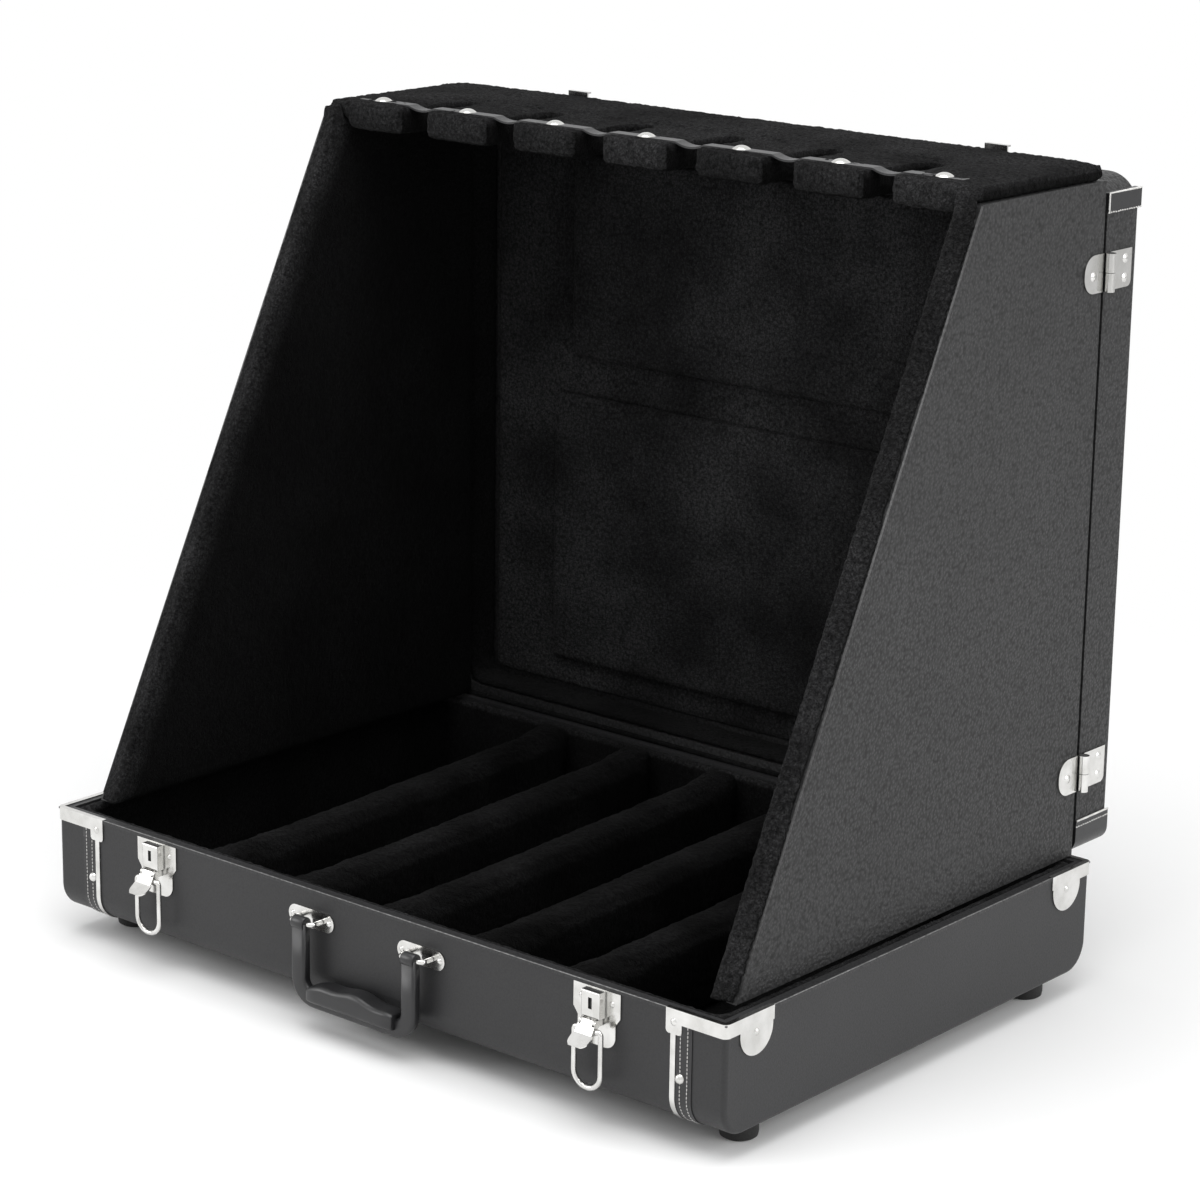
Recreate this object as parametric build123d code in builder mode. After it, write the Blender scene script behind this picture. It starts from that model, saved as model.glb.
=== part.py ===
from build123d import *
from math import asin, degrees
import os

os.makedirs("parts", exist_ok=True)

# A folding stand case that holds seven guitar necks over a lined tray.
# X runs across the front, Y to the rear and Z up. The origin is on the floor,
# under the middle of the box that holds the whole stand.

# Tray
tray_width = 724.0
tray_depth = 481.0
tray_height = 92.0
tray_side_r = 4.0
tray_bottom_r = 24.0
tray_wall = 9.0
tray_floor = 8.0
rim_thick = 2.4
bead_proud = 0.7
wall_lining = 9.0
wall_lining_r = 4.0
floor_lining = 6.0

# Feet
foot_height = 20.5
foot_radius = 18.0
foot_edge_r = 3.0
foot_inset_x = 30.0
foot_inset_front = 57.0
foot_inset_rear = 43.0
foot_screw_r = 2.0
foot_head_r = 4.6
foot_head_thick = 3.0
foot_recess_depth = 7.0
foot_screw_clear = 0.3

# Dividers and neck places share one pitch, a share of the tray's width
neck_share = 0.1357
neck_notches = 6
divider_width = 34.0
divider_front_drop = 6.0
divider_rear_rise = 7.0
divider_edge_r = 8.0
divider_rear_gap = 4.0

# Side panels
panel_inset = 16.6
panel_board = 9.5
panel_lining = 13.0
panel_rise = 2.0
panel_top = 562.0
panel_front_low = 32.5
panel_front_high = 308.6
panel_corner_r = 8.0
panel_end_roll = 4.5
panel_inner_roll = 8.0
panel_roll_back = 6.0
panel_seam_gap = 3.5

# Back shell
rear_gap = 1.5
lid_rise = 2.5
lid_depth = 48.0
lid_corner_r = 28.0
lid_back_r = 6.0
lid_wall = 8.0
lid_wall_lining = 6.0
lid_back_lining = 6.0
lid_pad_side = 92.0
lid_pad_thick = 9.0
lid_pad_low = 44.0
lid_pad_split = 0.562
lid_pad_gap = 32.0
lid_pad_drop = 42.0
lid_upper_pad_side = 112.0
lid_pad_r = 5.0
trim_thick = 0.8
trim_clear = 0.05
trim_top_r = 4.0
trim_top_band = (26.0, 10.5)
trim_bottom_r = 13.0
trim_bottom_band = (28.0, -0.7)

# Neck rest
rest_depth = 171.5
rest_rear_over = 1.5
rest_flange = 12.0
rest_board = 8.0
rest_drop = 10.5
rest_rear_r = 9.0
rest_board_side = 6.0
rest_board_back = 6.0
rest_core_half = 22.0
rest_clear = 0.4
rest_side_gap = 1.2
rest_edge_r = 4.0
rest_low_r = 6.0
tooth_corner_r = 5.0
notch_width = 29.0
notch_depth = 80.0
strap_width = 12.0
strap_thick = 1.6
strap_back = 20.6
strap_sag = 3.0
strap_left_inset = 4.9
strap_right_inset = 6.9
snap_radius = 7.5
snap_height = 3.0

# Side hinges, one above the other on each side
side_hinge_inset = 73.0
side_hinge_tall = 31.0
side_hinge_reach = 31.5
side_hinge_lid_reach = 36.0
side_hinge_nose_r = 14.0
side_hinge_corner_r = 5.0
side_hinge_rivet_r = 3.9
side_hinge_rivet_share = 0.6
side_hinge_rivet_drop = 1.5
side_hinge_lid_rivet_share = 0.74
side_hinge_lid_rivet_rise = 7.8
leaf_thick = 1.4
knuckle_r = 4.3
knuckle_out = 4.6
knuckle_gap = 0.4
side_axis_back = 1.0
pin_r = 1.5
pin_clear = 0.05
pin_cap = 2.0

# Rear hinges under the back shell
rear_hinge_inset = 132.0
rear_hinge_long = 60.0
rear_hinge_leaf = 24.0
rear_knuckle_r = 3.2
rear_leaf_thick = 1.2

# Corner brackets, end strips and bindings
plate_thick = 1.2
bracket_bar = 10.5
bracket_lip = 3.4
bracket_lip_thick = 0.8
bracket_arm = 55.5
bracket_plate_wide = 15.0
bracket_plate_tall = 19.0
bracket_tab_r = 19.5
bracket_tab_inset = 35.0
bracket_rivet_rise = 1.0
bracket_tab_tall = 32.5
bracket_tab_rivet_share = 0.44
bracket_side_arm = 56.0
strip_inset = 48.5
strip_wide = 4.8
strip_under = 26.0
binding_gap = 0.3
binding_wide = 15.0
binding_thick = 0.7
binding_rivet_drop = 53.0
binding_rivet_in = 4.0
binding_rivet_r = 4.2

# Latches
latch_inset = 122.0
latch_plate_wide = 46.0
latch_plate_shoulder = 22.0
latch_plate_taper = 6.0
latch_rivet_r = 2.4
latch_tongue_wide = 37.0
latch_plate_low = 48.0
latch_tongue_r = 10.0
lock_wide = 18.0
lock_top = 3.0
lock_low = 24.0
lock_out = 8.0
lock_edge_r = 1.2
keyhole_wide = 3.6
keyhole_tall = 9.0
keyhole_deep = 5.0
ear_thick = 1.0
ear_inner = 5.8
ear_r = 2.9
lever_drop = 27.4
lever_out = 9.5
lever_thick = 1.2
lever_slope = 30.6
lever_neck_wide = 10.8
lever_neck_share = 0.4
lever_tab_wide = 19.0
lever_tab_r = 7.0
lever_root = (-1.6, 2.6)
lever_crease = (-7.4, -7.2)
lever_tip = (-18.4, -13.8)
lever_tab_dip = 0.6
cheek_thick = 1.0
cheek_gap = 0.2
cheek_r = 3.0
bail_eye_r = 3.3
bail_ahead = 2.0
bail_below = 5.2
bail_wire_r = 2.1
bail_leg_x = 13.1
bail_long = 46.5
bail_turn_r = 2.6
bail_bend_r = 12.6
latch_rivet_side = 15.0
latch_rivet_drop = 12.0

# Catches on the back shell
catch_inset = 140.0
catch_wide = 46.0
catch_deep = 16.0
catch_tall = 15.5
catch_back = 2.0
catch_thick = 1.4
catch_hook_y = 6.0
catch_hook_lip = 5.0
catch_hook_wide = 22.0
catch_hook_shift = 10.0
catch_keeper_shift = 11.5
catch_rivet_r = 2.4
catch_keeper_wide = 18.0
catch_keeper_deep = 8.0
catch_keeper_tall = 9.0

# Handle
handle_x = 60.0
handle_drop = 24.0
handle_out = 13.0
handle_long = 53.5
handle_wide = 13.0
handle_thick = 7.6
handle_turn_r = 16.0
handle_edge_r = 2.4
handle_eye_r = 5.6
grip_half = 44.0
grip_half_depth = 8.5
grip_low = 2.6
grip_high = 11.0
grip_wave = 4.5
grip_bend_share = 0.42
grip_end_drop = 3.0
grip_dent = 3.0
grip_edge_r = 3.2
mount_wide = 50.0
mount_tall = 16.0
mount_rivet_side = 20.0
mount_rivet_r = 2.6
staple_r = 2.0
staple_half = 12.0
staple_turn_r = 4.0

# Rivets
rivet_r = 3.0
rivet_height = 1.5

# Places that follow from the sizes above
rim_z = foot_height + tray_height
latch_x = tray_width / 2 - latch_inset
catch_x = tray_width / 2 - catch_inset
strip_x = tray_width / 2 - strip_inset
rear_hinge_x = tray_width / 2 - rear_hinge_inset
neck_pitch = tray_width * neck_share
front_reach = max(handle_out + grip_half_depth, lever_out - lever_tip[0])
front_y = (front_reach - tray_depth - rear_gap - lid_depth) / 2
rear_y = front_y + tray_depth
mid_y = (front_y + rear_y) / 2
seam_y = rear_y + rear_gap
lid_back_y = seam_y + lid_depth
tray_half = tray_width / 2
lining_inner_x = tray_half - tray_wall - wall_lining
panel_face_x = tray_half - panel_inset
panel_inner_x = panel_face_x - panel_board - panel_lining
panel_low_z = rim_z + panel_rise
panel_top_z = rim_z + panel_top
panel_rear_y = seam_y - panel_seam_gap
lid_low_z = rim_z + lid_rise
lid_mid_z = (lid_low_z + panel_top_z) / 2
lid_tall = panel_top_z - lid_low_z
rest_front_y = seam_y - panel_seam_gap + rest_rear_over - rest_depth
rest_flange_z = panel_top_z + rest_clear
rest_top_z = rest_flange_z + rest_flange
rest_low_z = panel_top_z - rest_drop
floor_top_z = foot_height + tray_floor
side_axis_x = panel_face_x + knuckle_out
side_axis_y = seam_y + side_axis_back
strap_left = panel_inner_x - strap_left_inset
strap_right = panel_inner_x - strap_right_inset
rear_axis_y = rear_y + rear_knuckle_r
rear_axis_z = lid_low_z - rear_knuckle_r
sides = (("left", -1), ("right", 1))
tooth_places = [neck_pitch * (k - neck_notches / 2) for k in range(neck_notches + 1)]
notch_places = [neck_pitch * (k - (neck_notches - 1) / 2) for k in range(neck_notches)]
divider_places = tooth_places[1:-1]


def level(z):
    """A horizontal plane at height z, facing up."""
    return Plane.XY.offset(z)


def facing_front(y):
    """An upright plane at depth y, facing the front."""
    return Plane.XZ.offset(-y)


def facing_side(x):
    """An upright plane at x, facing +X, with Y across and Z up."""
    return Plane.YZ.offset(x)


def save(piece, name):
    """Labels a finished piece and writes its STEP file."""
    piece.label = name
    export_step(piece, f"parts/{name}.step")


def outer_face(x, reach):
    """A side face at this distance from the middle, turned outward."""
    return Plane(origin=(x * reach, 0, 0), x_dir=(0, 1, 0), z_dir=(x, 0, 0))


def dome(plane, places, radius=rivet_r, height=rivet_height):
    """Round-topped heads standing on a plane, one at each place on it."""
    ball = (radius**2 + height**2) / (2 * height)
    cap = degrees(asin((ball - height) / ball))
    with Locations(plane):
        with Locations(*[(u, v, height - ball) for u, v in places]):
            Sphere(ball, arc_size1=cap, align=None)


# Tray shell: the side view drawn from end to end, with both end faces rounded off
with BuildPart() as tray_shell:
    with BuildSketch(facing_side(-tray_half)) as side_view:
        with Locations((mid_y, foot_height + (tray_height - rim_thick) / 2)):
            Rectangle(tray_depth, tray_height - rim_thick)
        fillet(side_view.vertices().group_by(Axis.Y)[0], radius=tray_bottom_r)
    extrude(amount=tray_width)
    for end_face in (tray_shell.faces().sort_by(Axis.X)[0], tray_shell.faces().sort_by(Axis.X)[-1]):
        fillet(end_face.edges().sort_by(Axis.Z)[:-1], radius=tray_side_r)
    with BuildSketch(level(floor_top_z)):
        with Locations((0, mid_y)):
            Rectangle(tray_width - 2 * tray_wall, tray_depth - 2 * tray_wall)
    extrude(amount=tray_height, mode=Mode.SUBTRACT)
    with Locations(level(foot_height)):
        for x in (-1, 1):
            for y in (front_y + foot_inset_front, rear_y - foot_inset_rear):
                with Locations((x * (tray_half - foot_inset_x), y, tray_floor / 2)):
                    Cylinder(foot_screw_r, tray_floor, mode=Mode.SUBTRACT)
save(tray_shell.part, "tray_shell")

# Rim edging: a flat lip over the wall, with a bead along the front and sides
with BuildPart() as rim_edging:
    with BuildSketch(level(rim_z - rim_thick)):
        with Locations((0, mid_y)):
            RectangleRounded(tray_width, tray_depth, tray_side_r)
            Rectangle(
                tray_width - 2 * tray_wall, tray_depth - 2 * tray_wall, mode=Mode.SUBTRACT
            )
    extrude(amount=rim_thick)
    with BuildSketch(level(rim_z - rim_thick)):
        bead_half_x = tray_half - bracket_arm
        with Locations((0, front_y - bead_proud / 2)):
            Rectangle(2 * bead_half_x, bead_proud)
        bead_long_y = tray_depth - 2 * bracket_side_arm
        for x in (-1, 1):
            with Locations((x * (tray_half + bead_proud / 2), mid_y)):
                Rectangle(bead_proud, bead_long_y)
    extrude(amount=rim_thick)
save(rim_edging.part, "rim_edging")

# Plush lining on the walls, rolled over at the rim
with BuildPart() as tray_wall_lining:
    with BuildSketch(level(floor_top_z)):
        with Locations((0, mid_y)):
            Rectangle(tray_width - 2 * tray_wall, tray_depth - 2 * tray_wall)
            Rectangle(
                2 * lining_inner_x,
                tray_depth - 2 * (tray_wall + wall_lining),
                mode=Mode.SUBTRACT,
            )
    extrude(amount=rim_z - floor_top_z)
    rim_edges = tray_wall_lining.edges().group_by(Axis.Z)[-1]
    inner_edges = rim_edges.sort_by(SortBy.DISTANCE)[:4]
    fillet(inner_edges, radius=wall_lining_r)
save(tray_wall_lining.part, "tray_wall_lining")

with BuildPart() as tray_floor_lining:
    with BuildSketch(level(floor_top_z)):
        with Locations((0, mid_y)):
            Rectangle(2 * lining_inner_x, tray_depth - 2 * (tray_wall + wall_lining))
    extrude(amount=floor_lining)
save(tray_floor_lining.part, "tray_floor_lining")

# Dividers: padded ribs from the front lining to just short of the rear one
divider_front_y = front_y + tray_wall + wall_lining
divider_rear_y = rear_y - tray_wall - wall_lining - divider_rear_gap
divider_low_z = floor_top_z + floor_lining
divider_profile = (
    (divider_front_y, divider_low_z),
    (divider_front_y, rim_z - divider_front_drop),
    (divider_rear_y, rim_z + divider_rear_rise),
    (divider_rear_y, divider_low_z),
)
for number, x in enumerate(divider_places, start=1):
    with BuildPart() as divider:
        with BuildSketch(facing_side(x)):
            with BuildLine():
                Polyline(*divider_profile, close=True)
            make_face()
        extrude(amount=divider_width / 2, both=True)
        top_edges = divider.faces().sort_by(Axis.Z)[-1].edges().sort_by(Axis.Y)[1:]
        fillet(top_edges, radius=divider_edge_r)
    save(divider.part, f"divider_{number}")

# Corner brackets: a bar round the rim corner, a small plate with a rivet on the
# front or rear face and a round tab with a rivet on the side
bracket_mid_x = tray_half - bracket_arm + bracket_plate_wide / 2
corners = [
    (f"{end}_{side}", x, y, (front_y, rear_y)[y > 0])
    for end, y in (("front", -1), ("rear", 1))
    for side, x in sides
]
for corner, x, y, face_y in corners:
    tab_y = face_y - y * bracket_tab_inset
    with BuildPart() as corner_bracket:
        for inner, low, high in (
            (0, rim_z - bracket_bar, rim_z + bracket_lip_thick),
            (bracket_lip, rim_z, rim_z + bracket_lip_thick),
        ):
            with BuildSketch(level(low)):
                with Locations((0, mid_y)):
                    RectangleRounded(
                        tray_width + 2 * plate_thick,
                        tray_depth + 2 * plate_thick,
                        tray_side_r + plate_thick,
                    )
                    RectangleRounded(
                        tray_width - 2 * inner,
                        tray_depth - 2 * inner,
                        tray_side_r - inner,
                        mode=Mode.SUBTRACT,
                    )
                reach_x = bracket_arm + plate_thick
                reach_y = bracket_side_arm + plate_thick
                with Locations(
                    (
                        x * (tray_half + plate_thick - reach_x / 2),
                        face_y + y * (plate_thick - reach_y / 2),
                    )
                ):
                    Rectangle(reach_x, reach_y, mode=Mode.INTERSECT)
            extrude(amount=high - low)
        plate_y = face_y if y < 0 else face_y + plate_thick
        with BuildSketch(facing_front(plate_y)):
            with Locations((x * bracket_mid_x, rim_z - bracket_plate_tall / 2)):
                RectangleRounded(bracket_plate_wide, bracket_plate_tall, 3)
            with Locations((x * bracket_mid_x, rim_z - bracket_bar / 2)):
                Rectangle(bracket_plate_wide, bracket_bar)
        extrude(amount=plate_thick)
        with BuildSketch(facing_side(x * tray_half)):
            with Locations((tab_y, rim_z - bracket_tab_tall + bracket_tab_r)):
                Circle(bracket_tab_r)
            straight = bracket_tab_tall - bracket_tab_r
            with Locations((tab_y, rim_z - straight / 2)):
                Rectangle(2 * bracket_tab_r, straight)
            with Locations((tab_y, rim_z - bracket_tab_tall / 2)):
                Rectangle(2 * bracket_tab_r, bracket_tab_tall, mode=Mode.INTERSECT)
        extrude(amount=x * plate_thick)
    save(corner_bracket.part, f"corner_bracket_{corner}")

# End strips and the stitched bindings beside them follow the front face down
# and round under the tray
for side, x in sides:
    for name, start, wide, thick, top in (
        ("end_strip", strip_x - strip_wide / 2, strip_wide, plate_thick, bracket_plate_tall),
        (
            "end_binding",
            strip_x + strip_wide / 2 + binding_gap,
            binding_wide,
            binding_thick,
            bracket_plate_tall,
        ),
    ):
        with BuildPart() as band:
            with BuildSketch(facing_side(x * (start + wide / 2))):
                with Locations((mid_y, rim_z)):
                    RectangleRounded(
                        tray_depth + 2 * thick,
                        2 * (tray_height + thick),
                        tray_bottom_r + thick,
                    )
                    RectangleRounded(
                        tray_depth, 2 * tray_height, tray_bottom_r, mode=Mode.SUBTRACT
                    )
                tall = tray_height + thick - top
                with Locations(
                    (front_y + (strip_under - thick) / 2, foot_height - thick + tall / 2)
                ):
                    Rectangle(strip_under + thick, tall, mode=Mode.INTERSECT)
            extrude(amount=wide / 2, both=True)
        save(band.part, f"{name}_{side}")

# Feet with their screws up through the tray floor
foot_places = [
    (f"{end}_{side}", x * (tray_half - foot_inset_x), y)
    for end, y in (
        ("front", front_y + foot_inset_front),
        ("rear", rear_y - foot_inset_rear),
    )
    for side, x in sides
]
for place, x, y in foot_places:
    with BuildPart() as foot:
        with BuildSketch(level(0)):
            with Locations((x, y)):
                Circle(foot_radius)
        extrude(amount=foot_height)
        fillet(foot.edges().sort_by(Axis.Z)[0], radius=foot_edge_r)
        with BuildSketch(level(0)):
            with Locations((x, y)):
                Circle(foot_head_r + foot_screw_clear)
        extrude(amount=foot_recess_depth, mode=Mode.SUBTRACT)
        with BuildSketch(level(0)):
            with Locations((x, y)):
                Circle(foot_screw_r)
        extrude(amount=foot_height, mode=Mode.SUBTRACT)
    save(foot.part, f"foot_{place}")

with BuildPart() as foot_screws:
    for place, x, y in foot_places:
        with BuildSketch(level(foot_recess_depth - foot_head_thick)):
            with Locations((x, y)):
                Circle(foot_head_r)
        extrude(amount=foot_head_thick)
        with BuildSketch(level(foot_recess_depth)):
            with Locations((x, y)):
                Circle(foot_screw_r)
        extrude(amount=floor_top_z - foot_recess_depth)
save(foot_screws.part, "foot_screws")

# Latches: a plate with two ears, a key lock box, a lever on the ears and a wire
# bail on the lever
lever_y = front_y - lever_out
lever_z = rim_z - lever_drop
bail_y = lever_y - bail_ahead
bail_z = lever_z - bail_below
cheek_inner = ear_inner + ear_thick + cheek_gap
pivot = Vector(lever_y, lever_z)
root = pivot + Vector(*lever_root)
crease = pivot + Vector(*lever_crease)
tip = pivot + Vector(*lever_tip)
under = Vector(lever_thick, 0).rotate(Axis.Z, -lever_slope)
for side, x in sides:
    middle = x * latch_x
    with BuildPart() as latch_plate:
        with BuildSketch(facing_front(front_y)) as outline:
            with BuildLine():
                half = latch_plate_wide / 2
                tongue = latch_tongue_wide / 2
                low_z = rim_z - latch_plate_low
                shoulder_z = rim_z - latch_plate_shoulder
                Polyline(
                    (middle - half, rim_z - rim_thick),
                    (middle - half, shoulder_z),
                    (middle - tongue, shoulder_z - latch_plate_taper),
                    (middle - tongue, low_z),
                    (middle + tongue, low_z),
                    (middle + tongue, shoulder_z - latch_plate_taper),
                    (middle + half, shoulder_z),
                    (middle + half, rim_z - rim_thick),
                    close=True,
                )
            make_face()
            tongue_corners = outline.vertices().group_by(Axis.Y)[0]
            fillet(tongue_corners, radius=latch_tongue_r)
        extrude(amount=plate_thick)
        for ear in (-1, 1):
            with BuildSketch(facing_side(middle + ear * (ear_inner + ear_thick / 2))):
                with Locations((lever_y, lever_z)):
                    Circle(ear_r)
                ear_long = lever_out - plate_thick
                with Locations((front_y - plate_thick - ear_long / 2, lever_z)):
                    Rectangle(ear_long, 2 * ear_r)
                with Locations((lever_y, lever_z)):
                    Circle(pin_r + pin_clear, mode=Mode.SUBTRACT)
            extrude(amount=ear_thick / 2, both=True)
    save(latch_plate.part, f"latch_plate_{side}")

    with BuildPart() as lock_box:
        with BuildSketch(facing_front(front_y - plate_thick)):
            with Locations((middle, rim_z - (lock_top + lock_low) / 2)):
                Rectangle(lock_wide, lock_low - lock_top)
        extrude(amount=lock_out)
        fillet(lock_box.faces().sort_by(Axis.Y)[0].edges(), radius=lock_edge_r)
        with BuildSketch(facing_front(front_y - plate_thick - lock_out + keyhole_deep)):
            with Locations((middle, rim_z - (lock_top + lock_low) / 2 + 1)):
                Rectangle(keyhole_wide, keyhole_tall)
        extrude(amount=keyhole_deep, mode=Mode.SUBTRACT)
    save(lock_box.part, f"lock_box_{side}")

    with BuildPart() as lever_tab:
        with BuildSketch(facing_side(middle)):
            with BuildLine():
                dip = (crease + tip) / 2 + under * lever_tab_dip
                ThreePointArc(crease, dip, tip)
                Line(tip, tip + under)
                ThreePointArc(tip + under, dip + under, crease + under)
                Line(crease + under, crease)
            make_face()
        extrude(amount=lever_tab_wide / 2, both=True)
        with BuildSketch(level(tip.Y - lever_thick)):
            with Locations((middle, tip.X + lever_tab_wide)):
                RectangleRounded(lever_tab_wide, 2 * lever_tab_wide, lever_tab_r)
        extrude(amount=lever_tab_wide, mode=Mode.INTERSECT)

    with BuildPart() as latch_lever:
        neck = root + (crease - root) * lever_neck_share
        for start, end, wide in (
            (root, neck, lever_neck_wide),
            (neck, crease, 2 * (cheek_inner + cheek_thick)),
        ):
            with BuildSketch(facing_side(middle)):
                with BuildLine():
                    Polyline(start, end, end + under, start + under, close=True)
                make_face()
            extrude(amount=wide / 2, both=True)
        add(lever_tab.part)
        for cheek in (-1, 1):
            with BuildSketch(facing_side(middle + cheek * (cheek_inner + cheek_thick / 2))):
                with BuildLine():
                    Polyline((lever_y, lever_z), neck, crease, (bail_y, bail_z), close=True)
                make_face()
                with Locations((lever_y, lever_z)):
                    Circle(cheek_r)
                with Locations((bail_y, bail_z)):
                    Circle(bail_eye_r)
                with Locations((bail_y, bail_z)):
                    Circle(bail_wire_r + pin_clear, mode=Mode.SUBTRACT)
            extrude(amount=cheek_thick / 2, both=True)
        with BuildSketch(facing_side(middle)):
            with Locations((lever_y, lever_z)):
                Circle(pin_r)
        extrude(amount=cheek_inner, both=True)
    save(latch_lever.part, f"latch_lever_{side}")

    with BuildPart() as latch_bail:
        with BuildLine() as bail_path:
            FilletPolyline(
                (middle - cheek_inner, bail_y, bail_z),
                (middle - bail_leg_x, bail_y, bail_z),
                (middle - bail_leg_x, bail_y, bail_z - bail_long),
                (middle + bail_leg_x, bail_y, bail_z - bail_long),
                (middle + bail_leg_x, bail_y, bail_z),
                (middle + cheek_inner, bail_y, bail_z),
                radius=[bail_turn_r, bail_bend_r, bail_bend_r, bail_turn_r],
            )
        with BuildSketch(facing_side(middle - cheek_inner)):
            with Locations((bail_y, bail_z)):
                Circle(bail_wire_r)
        sweep(path=bail_path.wires()[0])
    save(latch_bail.part, f"latch_bail_{side}")

# Handle mounts: a riveted plate with a wire staple that the handle turns on
handle_y = front_y - handle_out
handle_z = rim_z - handle_drop
for side, x in sides:
    middle = x * handle_x
    with BuildPart() as handle_mount:
        with BuildSketch(facing_front(front_y)):
            with Locations((middle, handle_z)):
                SlotOverall(mount_wide, mount_tall)
        extrude(amount=plate_thick)
        with BuildLine() as staple_path:
            FilletPolyline(
                (middle - staple_half, front_y - plate_thick, handle_z),
                (middle - staple_half, handle_y, handle_z),
                (middle + staple_half, handle_y, handle_z),
                (middle + staple_half, front_y - plate_thick, handle_z),
                radius=staple_turn_r,
            )
        with BuildSketch(facing_front(front_y - plate_thick)):
            with Locations((middle - staple_half, handle_z)):
                Circle(staple_r)
        sweep(path=staple_path.wires()[0])
    save(handle_mount.part, f"handle_mount_{side}")

# Handle: a flat moulded bow with an eye at each end
with BuildPart() as handle_bow:
    with BuildSketch(facing_front(handle_y + handle_thick / 2)):
        outer_x = handle_x + handle_wide / 2
        low_z = handle_z - handle_long - handle_wide / 2
        with BuildLine():
            FilletPolyline(
                (-outer_x, handle_z),
                (-outer_x, low_z),
                (outer_x, low_z),
                (outer_x, handle_z),
                radius=handle_turn_r + handle_wide,
            )
            Line((outer_x, handle_z), (outer_x - handle_wide, handle_z))
            FilletPolyline(
                (outer_x - handle_wide, handle_z),
                (outer_x - handle_wide, low_z + handle_wide),
                (-outer_x + handle_wide, low_z + handle_wide),
                (-outer_x + handle_wide, handle_z),
                radius=handle_turn_r,
            )
            Line((-outer_x + handle_wide, handle_z), (-outer_x, handle_z))
        make_face()
    extrude(amount=handle_thick)
    bow_faces = handle_bow.faces().sort_by(Axis.Y)
    fillet(bow_faces[0].edges() + bow_faces[-1].edges(), radius=handle_edge_r)
    for x in (-1, 1):
        with BuildSketch(facing_side(x * handle_x)):
            with Locations((handle_y, handle_z)):
                Circle(handle_eye_r)
        extrude(amount=handle_wide / 2, both=True)
        with BuildSketch(facing_side(x * handle_x)):
            with Locations((handle_y, handle_z)):
                Circle(staple_r + pin_clear)
        extrude(amount=handle_wide, both=True, mode=Mode.SUBTRACT)
    grip_z = handle_z - handle_long
    with BuildSketch(facing_front(handle_y + handle_thick)):
        with Locations((0, grip_z - grip_low + grip_high)):
            Rectangle(2 * grip_half, 2 * grip_high)
    extrude(amount=2 * handle_thick, mode=Mode.SUBTRACT)
save(handle_bow.part, "handle_bow")

# Grip: flat below, where it lies on the bow, and waved above for the fingers
with BuildPart() as handle_grip:
    with BuildSketch(facing_front(handle_y + grip_half_depth)):
        with BuildLine():
            end_z = grip_z + grip_high - grip_end_drop
            dent_z = (end_z + grip_z - grip_low) / 2
            Polyline(
                (-grip_half, end_z),
                (-grip_half + grip_dent, dent_z),
                (-grip_half, grip_z - grip_low),
                (grip_half, grip_z - grip_low),
                (grip_half - grip_dent, dent_z),
                (grip_half, end_z),
            )
            Spline(
                (-grip_half, end_z),
                (-grip_half * grip_bend_share, grip_z + grip_high - grip_wave),
                (0, grip_z + grip_high),
                (grip_half * grip_bend_share, grip_z + grip_high - grip_wave),
                (grip_half, end_z),
            )
        make_face()
    extrude(amount=2 * grip_half_depth)
    long_edges = handle_grip.edges().filter_by(
        lambda edge: abs(edge.center().X) < 1 and edge.length > grip_half
    )
    fillet(long_edges, radius=grip_edge_r)
save(handle_grip.part, "handle_grip")

# Rivets on the tray's hardware, as round heads
with BuildPart() as tray_rivets:
    for x in (-1, 1):
        bracket_place = (x * bracket_mid_x, rim_z - bracket_bar + bracket_rivet_rise)
        dome(facing_front(front_y - plate_thick), [bracket_place])
        dome(
            facing_front(front_y - plate_thick),
            [
                (x * latch_x + k * latch_rivet_side, rim_z - latch_rivet_drop)
                for k in (-1, 1)
            ],
            radius=latch_rivet_r,
        )
        dome(
            facing_front(front_y - plate_thick),
            [(x * handle_x + k * mount_rivet_side, handle_z) for k in (-1, 1)],
            radius=mount_rivet_r,
        )
        binding_rivet_x = x * (strip_x + strip_wide / 2 + binding_gap + binding_rivet_in)
        dome(
            facing_front(front_y - binding_thick),
            [(binding_rivet_x, rim_z - binding_rivet_drop)],
            radius=binding_rivet_r,
            height=2 * rivet_height,
        )
        side_face = outer_face(x, tray_half + plate_thick)
        tab_places = (front_y + bracket_tab_inset, rear_y - bracket_tab_inset)
        tab_rivet_z = rim_z - bracket_tab_tall * bracket_tab_rivet_share
        dome(side_face, [(y, x * tab_rivet_z) for y in tab_places])
save(tray_rivets.part, "tray_rivets")

# Rear hinges: tray leaf with two outer knuckles, lid leaf with the middle one
rear_hinge_places = (-rear_hinge_x, 0, rear_hinge_x)
third = rear_hinge_long / 3
with BuildPart() as rear_hinge_tray_leaves:
    for x in rear_hinge_places:
        with BuildSketch(facing_front(rear_y + rear_leaf_thick)):
            with Locations((x, rear_axis_z - rear_hinge_leaf / 2)):
                Rectangle(rear_hinge_long, rear_hinge_leaf)
            with Locations((x, rear_axis_z)):
                Rectangle(
                    third + 2 * knuckle_gap,
                    2 * (rear_knuckle_r + knuckle_gap),
                    mode=Mode.SUBTRACT,
                )
        extrude(amount=rear_leaf_thick)
        for k in (-1, 1):
            with BuildSketch(facing_side(x + k * third)):
                with Locations((rear_axis_y, rear_axis_z)):
                    Circle(rear_knuckle_r)
                    Circle(pin_r, mode=Mode.SUBTRACT)
            extrude(amount=third / 2, both=True)
save(rear_hinge_tray_leaves.part, "rear_hinge_tray_leaves")

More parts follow.
